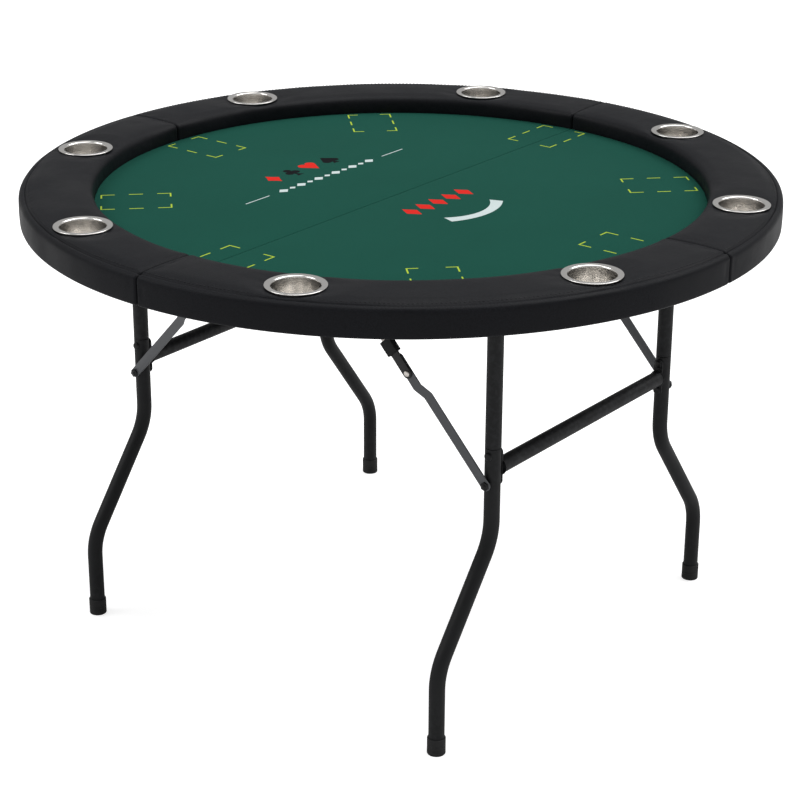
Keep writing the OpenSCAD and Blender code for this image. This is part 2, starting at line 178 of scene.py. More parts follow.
def add_piece(bm, name, material, body, replaces=(), sharp=math.radians(38), outward=True):
    """Makes a finished piece from a bmesh in the table's own frame."""
    if outward:
        bmesh.ops.recalc_face_normals(bm, faces=bm.faces[:])
    sharpen(bm, sharp)
    mesh = bpy.data.meshes.new(name)
    bm.to_mesh(mesh)
    bm.free()
    piece = bpy.data.objects.new(name, mesh)
    bpy.context.scene.collection.objects.link(piece)
    mesh.materials.append(material)
    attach(piece, body)
    if replaces:
        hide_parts(*replaces)
    return piece


def spun(points, segments):
    """A closed turned shape from (radius, height) points that start and end on the axis."""
    bm = bmesh.new()
    verts = [bm.verts.new((r, 0, z)) for r, z in points]
    edges = [bm.edges.new(pair) for pair in zip(verts, verts[1:])]
    bmesh.ops.spin(bm, geom=verts + edges, cent=(0, 0, 0), axis=(0, 0, 1), angle=math.tau,
                   steps=segments, use_merge=True, use_duplicate=False)
    bmesh.ops.remove_doubles(bm, verts=bm.verts[:], dist=1e-6)
    return bm


def arc(cx, cy, r, a0, a1, steps):
    """Points of an arc, with its angles in degrees."""
    angles = [math.radians(a0 + (a1 - a0) * i / steps) for i in range(steps + 1)]
    return [(cx + r * math.cos(a), cy + r * math.sin(a)) for a in angles]


def bevel_sharp(bm, width):
    """Rounds the edges where two faces meet at more than 40 degrees."""
    edges = [e for e in bm.edges if e.calc_face_angle(0) > math.radians(40)]
    bmesh.ops.bevel(bm, geom=edges, offset=width, offset_type="OFFSET", affect="EDGES",
                    segments=2, profile=0.5, material=-1, clamp_overlap=True)


def mirrored(bm, sx, sy):
    """Moves a shape drawn for the right back quarter to another quarter."""
    bmesh.ops.transform(bm, matrix=Matrix.Diagonal((sx, sy, 1, 1)), verts=bm.verts[:])
    return bm


def joined(*parts):
    """One bmesh that holds several, each a closed shell."""
    whole = bmesh.new()
    for part in parts:
        mesh = bpy.data.meshes.new("part")
        part.to_mesh(mesh)
        part.free()
        whole.from_mesh(mesh)
        bpy.data.meshes.remove(mesh)
    return whole


def applied(piece):
    """Applies a piece's modifiers."""
    graph = bpy.context.evaluated_depsgraph_get()
    mesh = bpy.data.meshes.new_from_object(piece.evaluated_get(graph), depsgraph=graph)
    piece.modifiers.clear()
    piece.data = mesh
    return piece


# ---------- Node helpers ----------

def node(tree, kind, inputs=None, **settings):
    made = tree.nodes.new(kind)
    for key, value in settings.items():
        setattr(made, key, value)
    for key, value in (inputs or {}).items():
        socket = made.inputs[key]
        if isinstance(value, bpy.types.NodeSocket):
            tree.links.new(value, socket)
        else:
            socket.default_value = value
    return made


def ramp(tree, value, low, high, to_low=0.0, to_high=1.0):
    """Maps a span of a value to another span, and clamps it."""
    return node(tree, "ShaderNodeMapRange", {
        "Value": value, "From Min": low, "From Max": high, "To Min": to_low, "To Max": to_high,
    }).outputs["Result"]


def sums(tree, operation, a, b):
    return node(tree, "ShaderNodeMath", {0: a, 1: b}, operation=operation).outputs[0]


def tinted(tree, factor, a, b):
    """A colour between a and b."""
    mix = node(tree, "ShaderNodeMix", data_type="RGBA")
    tree.links.new(factor, mix.inputs[0])
    for index, value in ((6, a), (7, b)):
        if isinstance(value, bpy.types.NodeSocket):
            tree.links.new(value, mix.inputs[index])
        else:
            mix.inputs[index].default_value = (*value, 1)
    return mix.outputs[2]


def group(name, inputs, outputs, build):
    """A shader node group with named sockets; build fills it and returns its outputs."""
    if name in bpy.data.node_groups:
        return bpy.data.node_groups[name]
    tree = bpy.data.node_groups.new(name, "ShaderNodeTree")
    for label, default in inputs.items():
        socket = tree.interface.new_socket(label, in_out="INPUT", socket_type="NodeSocketFloat")
        socket.default_value = default
    for label in outputs:
        tree.interface.new_socket(label, in_out="OUTPUT", socket_type="NodeSocketFloat")
    given = tree.nodes.new("NodeGroupInput")
    wanted = tree.nodes.new("NodeGroupOutput")
    for label, socket in zip(outputs, build(tree, given.outputs)):
        tree.links.new(socket, wanted.inputs[label])
    return tree


def placed(tree, made, **values):
    """Places a node group in a material with its own values."""
    inst = tree.nodes.new("ShaderNodeGroup")
    inst.node_tree = made
    for label, value in values.items():
        inst.inputs[label.replace("_", " ")].default_value = value
    return inst.outputs


def object_place(tree):
    return node(tree, "ShaderNodeTexCoord").outputs["Object"]


def noise_value(tree, vector, scale, detail=3.0, roughness=0.55):
    return node(tree, "ShaderNodeTexNoise", {
        "Vector": vector, "Scale": scale, "Detail": detail, "Roughness": roughness,
    }).outputs["Fac"]


def build_pebble(tree, given):
    """Pebbled leather: cells with soft valleys, and fine pores."""
    place = object_place(tree)
    bent = node(tree, "ShaderNodeVectorMath", {0: place}, operation="MULTIPLY_ADD")
    bent.inputs[1].default_value = (1, 1, 1)
    wander = node(tree, "ShaderNodeTexNoise", {"Vector": place, "Scale": 260.0})
    small = node(tree, "ShaderNodeVectorMath", {0: wander.outputs["Color"]}, operation="SCALE")
    small.inputs["Scale"].default_value = 0.0012
    tree.links.new(small.outputs[0], bent.inputs[2])
    cells = node(tree, "ShaderNodeTexVoronoi", {"Vector": bent.outputs[0], "Scale": given["Scale"]},
                 feature="SMOOTH_F1")
    # domes also masks the painted shade in the grain's valleys, used in the leather's colour
    domes = ramp(tree, cells.outputs["Distance"], 0.1, 0.7, 1.0, 0.0)
    pores = noise_value(tree, place, 1900.0, 2.0)
    height = sums(tree, "ADD", domes, sums(tree, "MULTIPLY", pores, 0.25))
    cloud = ramp(tree, noise_value(tree, place, 9.0, 4.0), 0.35, 0.7)
    return height, domes, cloud


def build_weave(tree, given):
    """Fine cloth: two crossed sets of threads broken up by fluff."""
    place = object_place(tree)
    parts = node(tree, "ShaderNodeSeparateXYZ", {"Vector": place}).outputs
    waves = []
    for axis in ("X", "Y"):
        turns = sums(tree, "MULTIPLY", parts[axis], given["Scale"])
        waves.append(sums(tree, "SINE", turns, 0.0))
    threads = ramp(tree, sums(tree, "MULTIPLY", waves[0], waves[1]), -1.0, 1.0)
    fluff = noise_value(tree, place, 1500.0, 4.0, 0.7)
    height = sums(tree, "ADD", sums(tree, "MULTIPLY", threads, 0.5), fluff)
    cloud = ramp(tree, noise_value(tree, place, 6.0, 5.0), 0.3, 0.75)
    return height, fluff, cloud


def build_wear(tree, given):
    """Rubbed edges: convex edges broken by noise, and handling smudges."""
    place = object_place(tree)
    point = node(tree, "ShaderNodeNewGeometry").outputs["Pointiness"]
    edge = ramp(tree, point, 0.52, 0.60)
    broken = ramp(tree, noise_value(tree, place, 120.0, 5.0), 0.45, 0.62)
    rubbed = sums(tree, "MULTIPLY", sums(tree, "MULTIPLY", edge, broken), given["Amount"])
    smudge = ramp(tree, noise_value(tree, place, 14.0, 6.0, 0.6), 0.4, 0.7)
    return rubbed, smudge


def build_brushing(tree, given):
    """Brushed metal along U: long fine scratches in the piece's own UV map."""
    uv = node(tree, "ShaderNodeTexCoord").outputs["UV"]
    long = node(tree, "ShaderNodeMapping", {"Vector": uv})
    long.inputs["Scale"].default_value = (2.0, 240.0, 1.0)
    streaks = noise_value(tree, long.outputs[0], given["Scale"], 6.0, 0.7)
    smudge = ramp(tree, noise_value(tree, object_place(tree), 22.0, 4.0), 0.4, 0.75)
    return streaks, smudge


def pebble():
    return group("pebble_grain", {"Scale": 620.0}, ("Height", "Domes", "Cloud"), build_pebble)


def weave():
    return group("cloth_weave", {"Scale": 5200.0}, ("Height", "Fluff", "Cloud"), build_weave)


def wear():
    return group("rubbed_edges", {"Amount": 1.0}, ("Rubbed", "Smudge"), build_wear)


def brushing():
    return group("brushed_lines", {"Scale": 1.0}, ("Streaks", "Smudge"), build_brushing)


def new_material(name):
    """A material with an empty tree, its Principled shader and its output."""
    made = bpy.data.materials.new(name)
    made.use_nodes = True
    tree = made.node_tree
    return made, tree, tree.nodes["Principled BSDF"]


def feed(tree, shader, label, socket):
    tree.links.new(socket, shader.inputs[label])


def bumped(tree, shader, height, strength, distance):
    bump = node(tree, "ShaderNodeBump", {"Strength": strength, "Distance": distance,
                                         "Height": height})
    feed(tree, shader, "Normal", bump.outputs["Normal"])


def lighter(rgb, amount):
    return tuple(min(1.0, c * amount) for c in rgb)


# ---------- Materials ----------

def leather_finish(rgb):
    made, tree, shader = new_material("rail_leather")
    grain = placed(tree, pebble(), Scale=620.0)
    shade = tinted(tree, grain["Cloud"], lighter(rgb, 0.82), lighter(rgb, 1.18))
    # Painted shade: the base colour drops to 0.6 of the leather's in the valleys between the grain's
    # domes, where shade falls
    feed(tree, shader, "Base Color", tinted(tree, grain["Domes"], lighter(rgb, 0.6), shade))
    feed(tree, shader, "Roughness", ramp(tree, grain["Cloud"], 0.0, 1.0, 0.42, 0.58))
    shader.inputs["Specular IOR Level"].default_value = 0.12
    bumped(tree, shader, grain["Height"], 0.35, 0.35 * MM)
    return made


def thread_finish(rgb):
    made, tree, shader = new_material("stitch_thread")
    twist = placed(tree, weave(), Scale=9000.0)
    feed(tree, shader, "Base Color", tinted(tree, twist["Fluff"], lighter(rgb, 0.6), lighter(rgb, 1.5)))
    shader.inputs["Roughness"].default_value = 0.6
    bumped(tree, shader, twist["Height"], 0.4, 0.2 * MM)
    return made


def cloth_finish(name, rgb, soft=0.06):
    made, tree, shader = new_material(name)
    pile = placed(tree, weave(), Scale=5200.0)
    shade = tinted(tree, pile["Cloud"], lighter(rgb, 0.93), lighter(rgb, 1.07))
    feed(tree, shader, "Base Color", tinted(tree, pile["Fluff"], lighter(rgb, 0.72), shade))
    feed(tree, shader, "Roughness", ramp(tree, pile["Fluff"], 0.0, 1.0, 0.82, 1.0))
    shader.inputs["Sheen Weight"].default_value = soft
    shader.inputs["Sheen Roughness"].default_value = 0.6
    shader.inputs["Sheen Tint"].default_value = (*lighter(rgb, 6.0), 1)
    shader.inputs["Specular IOR Level"].default_value = 0.08
    bumped(tree, shader, pile["Height"], 0.4, 0.25 * MM)
    return made


def steel_finish(rgb):
    made, tree, shader = new_material("cup_steel")
    lines = placed(tree, brushing(), Scale=1.0)
    feed(tree, shader, "Base Color", tinted(tree, lines["Streaks"], lighter(rgb, 0.97), rgb))
    rough = sums(tree, "ADD", ramp(tree, lines["Streaks"], 0.2, 0.8, 0.15, 0.19),
                 ramp(tree, lines["Smudge"], 0.0, 1.0, 0.0, 0.06))
    feed(tree, shader, "Roughness", rough)
    shader.inputs["Metallic"].default_value = 1.0
    bumped(tree, shader, lines["Streaks"], 0.012, 0.03 * MM)
    return made


def paint_finish(name, rgb, rough=0.48):
    """Powder coat: faint orange peel, rubbed edges and smudges."""
    made, tree, shader = new_material(name)
    rub = placed(tree, wear(), Amount=0.5)
    shade = tinted(tree, rub["Smudge"], lighter(rgb, 0.9), lighter(rgb, 1.15))
    feed(tree, shader, "Base Color", tinted(tree, rub["Rubbed"], shade, lighter(rgb, 4.0)))
    feed(tree, shader, "Roughness", ramp(tree, rub["Smudge"], 0.0, 1.0, rough, rough + 0.12))
    shader.inputs["Specular IOR Level"].default_value = 0.28
    peel = noise_value(tree, object_place(tree), 700.0, 2.0, 0.4)
    bumped(tree, shader, peel, 0.25, 0.12 * MM)
    return made


def zinc_finish(name, rgb, rough=0.34):
    """Zinc plating: soft spangles and dull smudges."""
    made, tree, shader = new_material(name)
    place = object_place(tree)
    cells = node(tree, "ShaderNodeTexVoronoi", {"Vector": place, "Scale": 260.0})
    spangle = node(tree, "ShaderNodeSeparateColor", {"Color": cells.outputs["Color"]}).outputs[0]
    rub = placed(tree, wear(), Amount=1.0)
    feed(tree, shader, "Base Color", tinted(tree, spangle, lighter(rgb, 0.88), rgb))
    mix = sums(tree, "ADD", ramp(tree, spangle, 0.0, 1.0, rough - 0.05, rough + 0.05),
               ramp(tree, rub["Smudge"], 0.0, 1.0, 0.0, 0.12))
    feed(tree, shader, "Roughness", mix)
    shader.inputs["Metallic"].default_value = 1.0
    bumped(tree, shader, noise_value(tree, place, 900.0), 0.1, 0.05 * MM)
    return made


def rubber_finish(rgb):
    made, tree, shader = new_material("foot_rubber")
    place = object_place(tree)
    dust = ramp(tree, noise_value(tree, place, 60.0, 5.0), 0.4, 0.75)
    feed(tree, shader, "Base Color", tinted(tree, dust, rgb, lighter(rgb, 2.2)))
    feed(tree, shader, "Roughness", ramp(tree, dust, 0.0, 1.0, 0.6, 0.8))
    bumped(tree, shader, noise_value(tree, place, 1100.0, 2.0), 0.3, 0.1 * MM)
    return made


def board_finish(rgb):
    """Dark laminated board with a faint grain along the seam."""
    made, tree, shader = new_material("board_laminate")
    turned = node(tree, "ShaderNodeMapping", {"Vector": object_place(tree)})
    turned.inputs["Scale"].default_value = (60.0, 3.0, 60.0)
    grain = noise_value(tree, turned.outputs[0], 2.0, 8.0, 0.65)
    feed(tree, shader, "Base Color", tinted(tree, grain, lighter(rgb, 0.7), lighter(rgb, 1.5)))
    feed(tree, shader, "Roughness", ramp(tree, grain, 0.2, 0.8, 0.5, 0.68))
    bumped(tree, shader, grain, 0.2, 0.15 * MM)
    return made


def floor_finish():
    made, tree, shader = new_material("studio_floor")
    soft = ramp(tree, noise_value(tree, object_place(tree), 2.0), 0.0, 1.0, 0.55, 0.6)
    feed(tree, shader, "Roughness", soft)
    shader.inputs["Base Color"].default_value = (0.7, 0.7, 0.7, 1)
    shader.inputs["Emission Color"].default_value = (1, 1, 1, 1)
    seen = node(tree, "ShaderNodeLightPath").outputs["Is Camera Ray"]
    feed(tree, shader, "Emission Strength", sums(tree, "MULTIPLY", seen, 0.72))
    return made


# ---------- Stage ----------

class TABLE_OT_stage(bpy.types.Operator):
    """Makes the pale floor, the soft studio light and the camera"""
    bl_idname = "card_table.stage"
    bl_label = "Stage"

    def execute(self, context):
        settings = context.scene.table_stage
        bm = bmesh.new()
        bmesh.ops.create_grid(bm, x_segments=2, y_segments=2, size=30)
        mesh = bpy.data.meshes.new("floor")
        bm.to_mesh(mesh)
        bm.free()
        floor = bpy.data.objects.new("floor", mesh)
        mesh.materials.append(floor_finish())
        context.scene.collection.objects.link(floor)
        add_world(context.scene)
        add_light("top_light", (0.1, 0.35, 1), 60, 1.6)
        add_light("key_light", (-0.75, -0.65, 1), 35, 0.85)
        add_light("back_light", (0.9, 0.9, 1.1), 35, 0.5)
        add_camera(context.scene, settings)
        return {"FINISHED"}


def add_world(scene):
    world = bpy.data.worlds.new("studio")
    world.use_nodes = True
    tree = world.node_tree
    sky = tree.nodes["Background"]
    sky.inputs["Color"].default_value = (1, 1, 1, 1)
    seen = node(tree, "ShaderNodeLightPath").outputs["Is Camera Ray"]
    feed(tree, sky, "Strength", ramp(tree, seen, 0.0, 1.0, 0.36, 1.0))
    scene.world = world
    scene.view_settings.view_transform = "Standard"


def add_light(name, towards, spread, strength):
    """A wide soft light, with the direction towards it and its spread in degrees."""
    data = bpy.data.lights.new(name, "SUN")
    data.angle = math.radians(spread)
    data.energy = strength
    lamp = bpy.data.objects.new(name, data)
    lamp.rotation_euler = Vector(towards).to_track_quat("Z", "Y").to_euler()
    bpy.context.scene.collection.objects.link(lamp)


def add_camera(scene, settings):
    data = bpy.data.cameras.new("camera")
    data.lens = settings.lens
    data.sensor_width = 36
    data.clip_end = 60
    camera = bpy.data.objects.new("camera", data)
    flat = math.cos(settings.elevation)
    back = Vector((math.sin(settings.azimuth) * flat, -math.cos(settings.azimuth) * flat,
                   math.sin(settings.elevation)))
    camera.location = Vector(settings.aim) + back * settings.distance
    turn = (-back).to_track_quat("-Z", "Y").to_matrix() @ Matrix.Rotation(settings.roll, 3, "Z")
    camera.rotation_euler = turn.to_euler()
    scene.collection.objects.link(camera)
    scene.camera = camera


# ---------- Padded rail ----------

CREASE_IN = 11 * MM
SIDE_R = 8 * MM
END_ROUND = 5 * MM
SEAM_GAP = 0.2 * MM
CREASE_DEPTH = 5.4 * MM
CUP_CUT_R = 39 * MM
FLANGE_HOLD_R = 44.5 * MM
FOAM_WAVE = 0.5 * MM
FLANGE_PUCKER = 1.5 * MM


def rail_profile(cell):
    """The cover's cross-section as (radius, height), from inside the well, over the top, to the
    lip under the boards: inner wall, round shoulder, crowned top, crease, rounded side, lip."""
    shoulder = 9 * MM
    crown = 1.6 * MM
    top_in = RAIL_IN + shoulder
    top_out = RAIL_OUT - CREASE_IN - 4 * MM
    low = CLOTH_Z - 3 * MM
    high = RAIL_TOP - crown - shoulder
    rows = max(2, round((high - low) / cell))
    points = [(RAIL_IN, low + (high - low) * i / rows) for i in range(rows)]
    points += arc(top_in, high, shoulder, 180, 90, 5)
    count = round((top_out - top_in) / cell)
    for i in range(1, count + 1):
        u = i / count
        drop = crown * (2 * u - 1) ** 2
        points.append((top_in + (top_out - top_in) * u, RAIL_TOP - drop))
    points += [(top_out + 2.4 * MM, RAIL_TOP - 2.6 * MM), (RAIL_OUT - CREASE_IN, RAIL_TOP - CREASE_DEPTH)]
    side = RAIL_OUT - 1.0 * MM
    wall_top, wall_low = RAIL_TOP - 4 * MM - SIDE_R, RAIL_BOTTOM + 5 * MM
    points += arc(side - SIDE_R, wall_top, SIDE_R, 95, 0, 6)
    rows = round((wall_top - wall_low) / cell)
    points += [(side, wall_top + (wall_low - wall_top) * i / rows) for i in range(1, rows + 1)]
    points += arc(side - 4 * MM, RAIL_BOTTOM + 4 * MM, 4 * MM, -10, -90, 3)
    points += [(side - (4 + 4.5 * i) * MM, RAIL_BOTTOM) for i in range(1, 5)]
    return points


def rail_sheet(cell):
    """The flat cut of one quarter's cover, swept round from seam to seam. Its ends are finer."""
    points = rail_profile(cell)
    bm = bmesh.new()
    verts = [bm.verts.new((r, 0, z)) for r, z in points]
    edges = [bm.edges.new(pair) for pair in zip(verts, verts[1:])]
    gap = SEAM_GAP / RAIL_OUT
    fine = END_ROUND / RAIL_OUT
    bmesh.ops.rotate(bm, verts=verts, cent=(0, 0, 0), matrix=Matrix.Rotation(gap, 3, "Z"))
    geom = verts + edges
    middle = math.pi / 2 - 2 * gap - 2 * fine
    steps = round(middle * RAIL_OUT / cell)
    for angle, count in ((fine, 5), (middle, steps), (fine, 5)):
        geom = bmesh.ops.spin(bm, geom=geom, cent=(0, 0, 0), axis=(0, 0, 1), angle=angle,
                              steps=count, use_duplicate=False)["geom_last"]
    bm.normal_update()
    top = max(bm.faces, key=lambda face: face.calc_center_median().z)
    if top.normal.z < 0:
        bmesh.ops.reverse_faces(bm, faces=bm.faces[:])
        bm.normal_update()
    return bm


def seam_distance(point):
    """How far a point of the first quarter is from the nearer seam."""
    return min(point.x, point.y)


def cup_places():
    """The axes of the first quarter's two cup holders."""
    angles = [math.radians(22.5 + 45 * i) for i in range(2)]
    return [Vector((CUP_RING * math.cos(a), CUP_RING * math.sin(a))) for a in angles]


def cut_cup_holes(bm, rim):
    """Opens the top under each cup holder and rounds the opening to its rim."""
    for cup in cup_places():
        gone = [f for f in bm.faces if f.normal.z > 0.5
                and (f.calc_center_median().xy - cup).length < rim]
        bmesh.ops.delete(bm, geom=gone, context="FACES")
        for v in bm.verts:
            away = v.co.xy - cup
            if v.is_boundary and away.length < rim + 8 * MM and v.co.z > CLOTH_Z + 20 * MM:
                v.co.xy = cup + away.normalized() * rim
    bmesh.ops.delete(bm, geom=[v for v in bm.verts if not v.link_faces], context="VERTS")


def round_ends(bm):
    """Turns the cover in at its seams with a small radius."""
    bm.normal_update()
    moves = {}
    for v in bm.verts:
        d = seam_distance(v.co) - SEAM_GAP
        if d < END_ROUND:
            d = max(d, 0.0)
            inset = END_ROUND - math.sqrt(max(0.0, END_ROUND ** 2 - (END_ROUND - d) ** 2))
            moves[v] = v.normal.copy() * -inset
    for v, move in moves.items():
        v.co += move


def flange_press(d):
    """How much a flange presses the cover down at a distance from its cup's axis."""
    edge = (CUP_HIGH.x - CUP_LOW.x) / 2
    return 1.4 * MM if d < edge else 1.4 * MM * math.exp(-((d - edge) / (7 * MM)) ** 2)


def held_rows(bm):
    """Vertices that are glued, stapled or stitched down: the lips, crease, rims and seams."""
    held = []
    for v in bm.verts:
        r = v.co.xy.length
        in_crease = abs(r - (RAIL_OUT - CREASE_IN)) < 1.2 * MM or (
            r > RAIL_OUT - CREASE_IN and v.co.z > RAIL_TOP - 5 * MM)
        near_cup = any((v.co.xy - cup).length < FLANGE_HOLD_R for cup in cup_places())
        if v.is_boundary or in_crease or near_cup or v.co.z < RAIL_BOTTOM + 3 * MM:
            held.append(v.index)
        elif seam_distance(v.co) < SEAM_GAP + END_ROUND:
            held.append(v.index)
    return held


def swell(piece, held, cap):
    """Blows the cover up over its foam by cloth simulation, and keeps each point within cap."""
    scene, frames = bpy.context.scene, 20
    pins = piece.vertex_groups.new(name="held")
    pins.add(held, 1.0, "REPLACE")
    cloth = piece.modifiers.new("swell", "CLOTH")
    cloth.settings.quality = 5
    cloth.settings.mass = 0.3
    cloth.settings.tension_stiffness = 12
    cloth.settings.compression_stiffness = 12
    cloth.settings.bending_stiffness = 3
    cloth.settings.use_pressure = True
    cloth.settings.uniform_pressure_force = 4
    cloth.settings.effector_weights.gravity = 0
    cloth.settings.vertex_group_mass = "held"
    cloth.point_cache.frame_start = 1
    cloth.point_cache.frame_end = frames
    for step in range(1, frames + 1):
        scene.frame_set(step)
    graph = bpy.context.evaluated_depsgraph_get()
    blown = piece.evaluated_get(graph).data
    ends = [v.co.copy() for v in blown.vertices]
    piece.modifiers.remove(cloth)
    piece.vertex_groups.remove(pins)
    scene.frame_set(1)
    for v, end in zip(piece.data.vertices, ends):
        move = end - v.co
        if move.length > cap:
            move *= cap / move.length
        v.co += move


def tuck(point, quarter):
    """Small folds of the cover, as a height along its normal: puckers round the flanges, pinches at
    the seams and slow unevenness of the foam."""
    edge = (CUP_HIGH.x - CUP_LOW.x) / 2
    seed = Vector((quarter * 3.1, quarter * 7.7, 0))
    rise = FOAM_WAVE * noise.noise(point * 14 + seed)
    for cup in cup_places():
        away = point.xy - cup
        d = away.length - edge
        if 0 < d < 45 * MM and point.z > CLOTH_Z + 15 * MM:
            turn = math.atan2(away.y, away.x)
            fold = noise.noise(Vector((math.cos(turn) * 3.2, math.sin(turn) * 3.2, 0)) + seed)
            rise += FLANGE_PUCKER * fold * math.exp(-d / (12 * MM)) * min(1.0, d / (3 * MM))
    d = seam_distance(point)
    along = point.xy.length * 60
    fold = noise.noise(Vector((along, d * 70, point.z * 60)) + seed)
    rise += (fold * 1.9 - 0.6) * MM * math.exp(-(d / (13 * MM)) ** 2)
    return rise


def build_cover(quarter, settings, material):
    """One quarter of the rail: padded cover, turned to its place."""
    bm = rail_sheet(settings.cell)
    cut_cup_holes(bm, CUP_CUT_R)
    round_ends(bm)
    for v in bm.verts:
        if v.co.z > RAIL_TOP - 8 * MM:
            v.co.z -= max(flange_press((v.co.xy - cup).length) for cup in cup_places())
    bm.verts.index_update()
    held = held_rows(bm)
    piece = add_piece(bm, f"rail_cover_{quarter}", material, "top",
                      [f"rail_pad_{quarter}"], sharp=math.radians(75), outward=False)
    swell(piece, held, settings.swell_cap)
    normals = [v.normal.copy() for v in piece.data.vertices]
    free = set(range(len(normals))) - set(held)
    for v, normal in zip(piece.data.vertices, normals):
        if v.index in free:
            v.co += normal * tuck(v.co, quarter)
    wall = piece.modifiers.new("cover", "SOLIDIFY")
    wall.thickness = settings.cover_t
    wall.offset = -1
    applied(piece)
    piece.data.transform(Matrix.Rotation(math.pi / 2 * (quarter - 1), 4, "Z"))
    return piece


def build_stitches(settings, material):
    """Short stitches that lie along the inside of the crease."""
    ring = RAIL_OUT - CREASE_IN - 4.6 * MM
    count = round(math.tau * ring / settings.stitch_pitch)
    whole = bmesh.new()
    for i in range(count):
        a = math.tau * (i + 0.5) / count
        if abs(math.sin(2 * a)) < 0.013:
            continue
        place = (Matrix.Rotation(a, 4, "Z") @ Matrix.Translation((ring, 0, RAIL_TOP - 1.3 * MM))
                 @ Matrix.Rotation(math.radians(14), 4, "Y")
                 @ Matrix.Diagonal((0.4 * MM, 1.9 * MM, 0.4 * MM, 1)))
        bmesh.ops.create_icosphere(whole, subdivisions=1, radius=1, matrix=place)
    return add_piece(whole, "rail_stitches", material, "top", sharp=math.pi)


class TABLE_OT_padded_rail(bpy.types.Operator):
    """Makes the four padded quarters of the rail and their stitching"""
    bl_idname = "card_table.padded_rail"
    bl_label = "Padded rail"

    def execute(self, context):
        settings = context.scene.table_rail
        leather = leather_finish(tuple(settings.leather))
        for quarter in range(1, 5):
            build_cover(quarter, settings, leather)
        build_stitches(settings, thread_finish(tuple(settings.thread)))
        return {"FINISHED"}


# ---------- Playing cloth ----------

def half_disc(radius, side, low, high, round_r):
    """Half of a flat disc beside the centre seam, with its top edge rounded over."""
    bm = bmesh.new()
    bmesh.ops.create_circle(bm, cap_ends=True, segments=256, radius=radius,
                            matrix=Matrix.Translation((0, 0, low)))
    bmesh.ops.bisect_plane(bm, geom=bm.verts[:] + bm.edges[:] + bm.faces[:],
                           plane_co=(side * SEAM_HALF, 0, low), plane_no=(side, 0, 0),
                           clear_inner=True)
    up = bmesh.ops.extrude_face_region(bm, geom=bm.faces[:])["geom"]
    bmesh.ops.translate(bm, vec=(0, 0, high - low),
                        verts=[g for g in up if isinstance(g, bmesh.types.BMVert)])
    rim = [e for e in bm.edges if all(abs(v.co.z - high) < 1e-6 for v in e.verts)]
    bmesh.ops.bevel(bm, geom=rim, offset=round_r, offset_type="OFFSET", affect="EDGES",
                    segments=3, profile=0.5, material=-1)
    return bm


class TABLE_OT_playing_cloth(bpy.types.Operator):
    """Makes the cloth and the foam under it on each half of the top"""
    bl_idname = "card_table.playing_cloth"
    bl_label = "Playing cloth"

    def execute(self, context):
        settings = context.scene.table_cloth
        cloth = cloth_finish("playing_cloth", tuple(settings.cloth))
        foam = cloth_finish("cloth_foam", lighter(tuple(settings.cloth), 0.5), 0.0)
        split = CLOTH_Z - 1.2 * MM
        for side, sign in SIDES.items():
            top = add_piece(half_disc(CLOTH_R, sign, split, CLOTH_Z, 0.5 * MM),
                            f"{side}_playing_cloth", cloth, "top",
                            [f"{side}_playing_surface"])
            under = add_piece(half_disc(CLOTH_R, sign, CLOTH_LOW.z, split, 0.3 * MM),
                              f"{side}_cloth_foam", foam, "top")
        return {"FINISHED"}


# ---------- Printed marks ----------

PRINT_T = 0.12 * MM
SEAM_TURN = 1
SUIT_X = -211 * MM
SUIT_PITCH = 47 * MM
RULE_X = -155 * MM
BAND_X = 75 * MM


def slab(width, height, place):
    """A thin printed bar in its own place."""
    bm = bmesh.new()
    bmesh.ops.create_cube(bm, size=1, matrix=place @ Matrix.Diagonal((width, height, PRINT_T, 1)))
    return bm


def outline_slab(points, place):
    """A thin printed shape from the points of its outline."""
    bm = bmesh.new()
    face = bm.faces.new([bm.verts.new((x, y, -PRINT_T / 2)) for x, y in points])
    up = bmesh.ops.extrude_face_region(bm, geom=[face])["geom"]
    bmesh.ops.translate(bm, vec=(0, 0, PRINT_T),
                        verts=[g for g in up if isinstance(g, bmesh.types.BMVert)])
    bmesh.ops.triangulate(bm, faces=[f for f in bm.faces if len(f.verts) > 4])
    bmesh.ops.transform(bm, matrix=place, verts=bm.verts[:])
    return bm


def seat_mark(settings, seat):
    """A broken box in front of a seat: four corners, and a dash halfway along each long side. The
    two on the centre seam are wider and turned a little."""
    on_seam = seat % 4 == 2
    turn = math.radians(45 * seat + (SEAM_TURN if on_seam else 0))
    width = settings.seam_box_w if on_seam else settings.box_w
    half_l, half_w, line = settings.box_l / 2, width / 2, settings.line_w
    dash = settings.box_l * 0.2
    short = width * 0.24
    base = Matrix.Rotation(turn, 4, "Z") @ Matrix.Translation((settings.box_ring, 0, CLOTH_Z))
    bars = []
    for sy in (-1, 1):
        y = sy * (half_w - line / 2)
        bars.append(slab(dash, line, base @ Matrix.Translation((0, y, 0))))
        for sx in (-1, 1):
            corner = [(0, 0), (dash, 0), (dash, line), (line, line), (line, short), (0, short)]
            turned = [(-sx * x + sx * half_l, -sy * v + sy * half_w) for x, v in corner]
            bars.append(outline_slab(turned, base))
    return bars


def diamond_outline():
    """Four slightly hollow sides between four points."""
    tips = [(0, 0.5), (-0.36, 0), (0, -0.5), (0.36, 0)]
    points = []
    for (x0, y0), (x1, y1) in zip(tips, tips[1:] + tips[:1]):
        for i in range(8):
            t = i / 8
            pull = 1 - 0.35 * t * (1 - t)
            points.append(((x0 + (x1 - x0) * t) * pull, (y0 + (y1 - y0) * t) * pull))
    return points


def heart_outline():
    """Two round lobes over a point."""
    r = 0.235
    return arc(-0.225, 0.24, r, 20, 205, 18) + [(0, -0.5)] + arc(0.225, 0.24, r, -25, 160, 18)


def stem_points(top):
    """The flared stem of a spade or club."""
    return [(-0.05, top), (-0.08, -0.34), (-0.2, -0.5), (0.2, -0.5), (0.08, -0.34), (0.05, top)]


def spade_parts():
    body = [(x, -y * 0.85 + 0.08) for x, y in heart_outline()][::-1]
    return [body, stem_points(-0.1)]


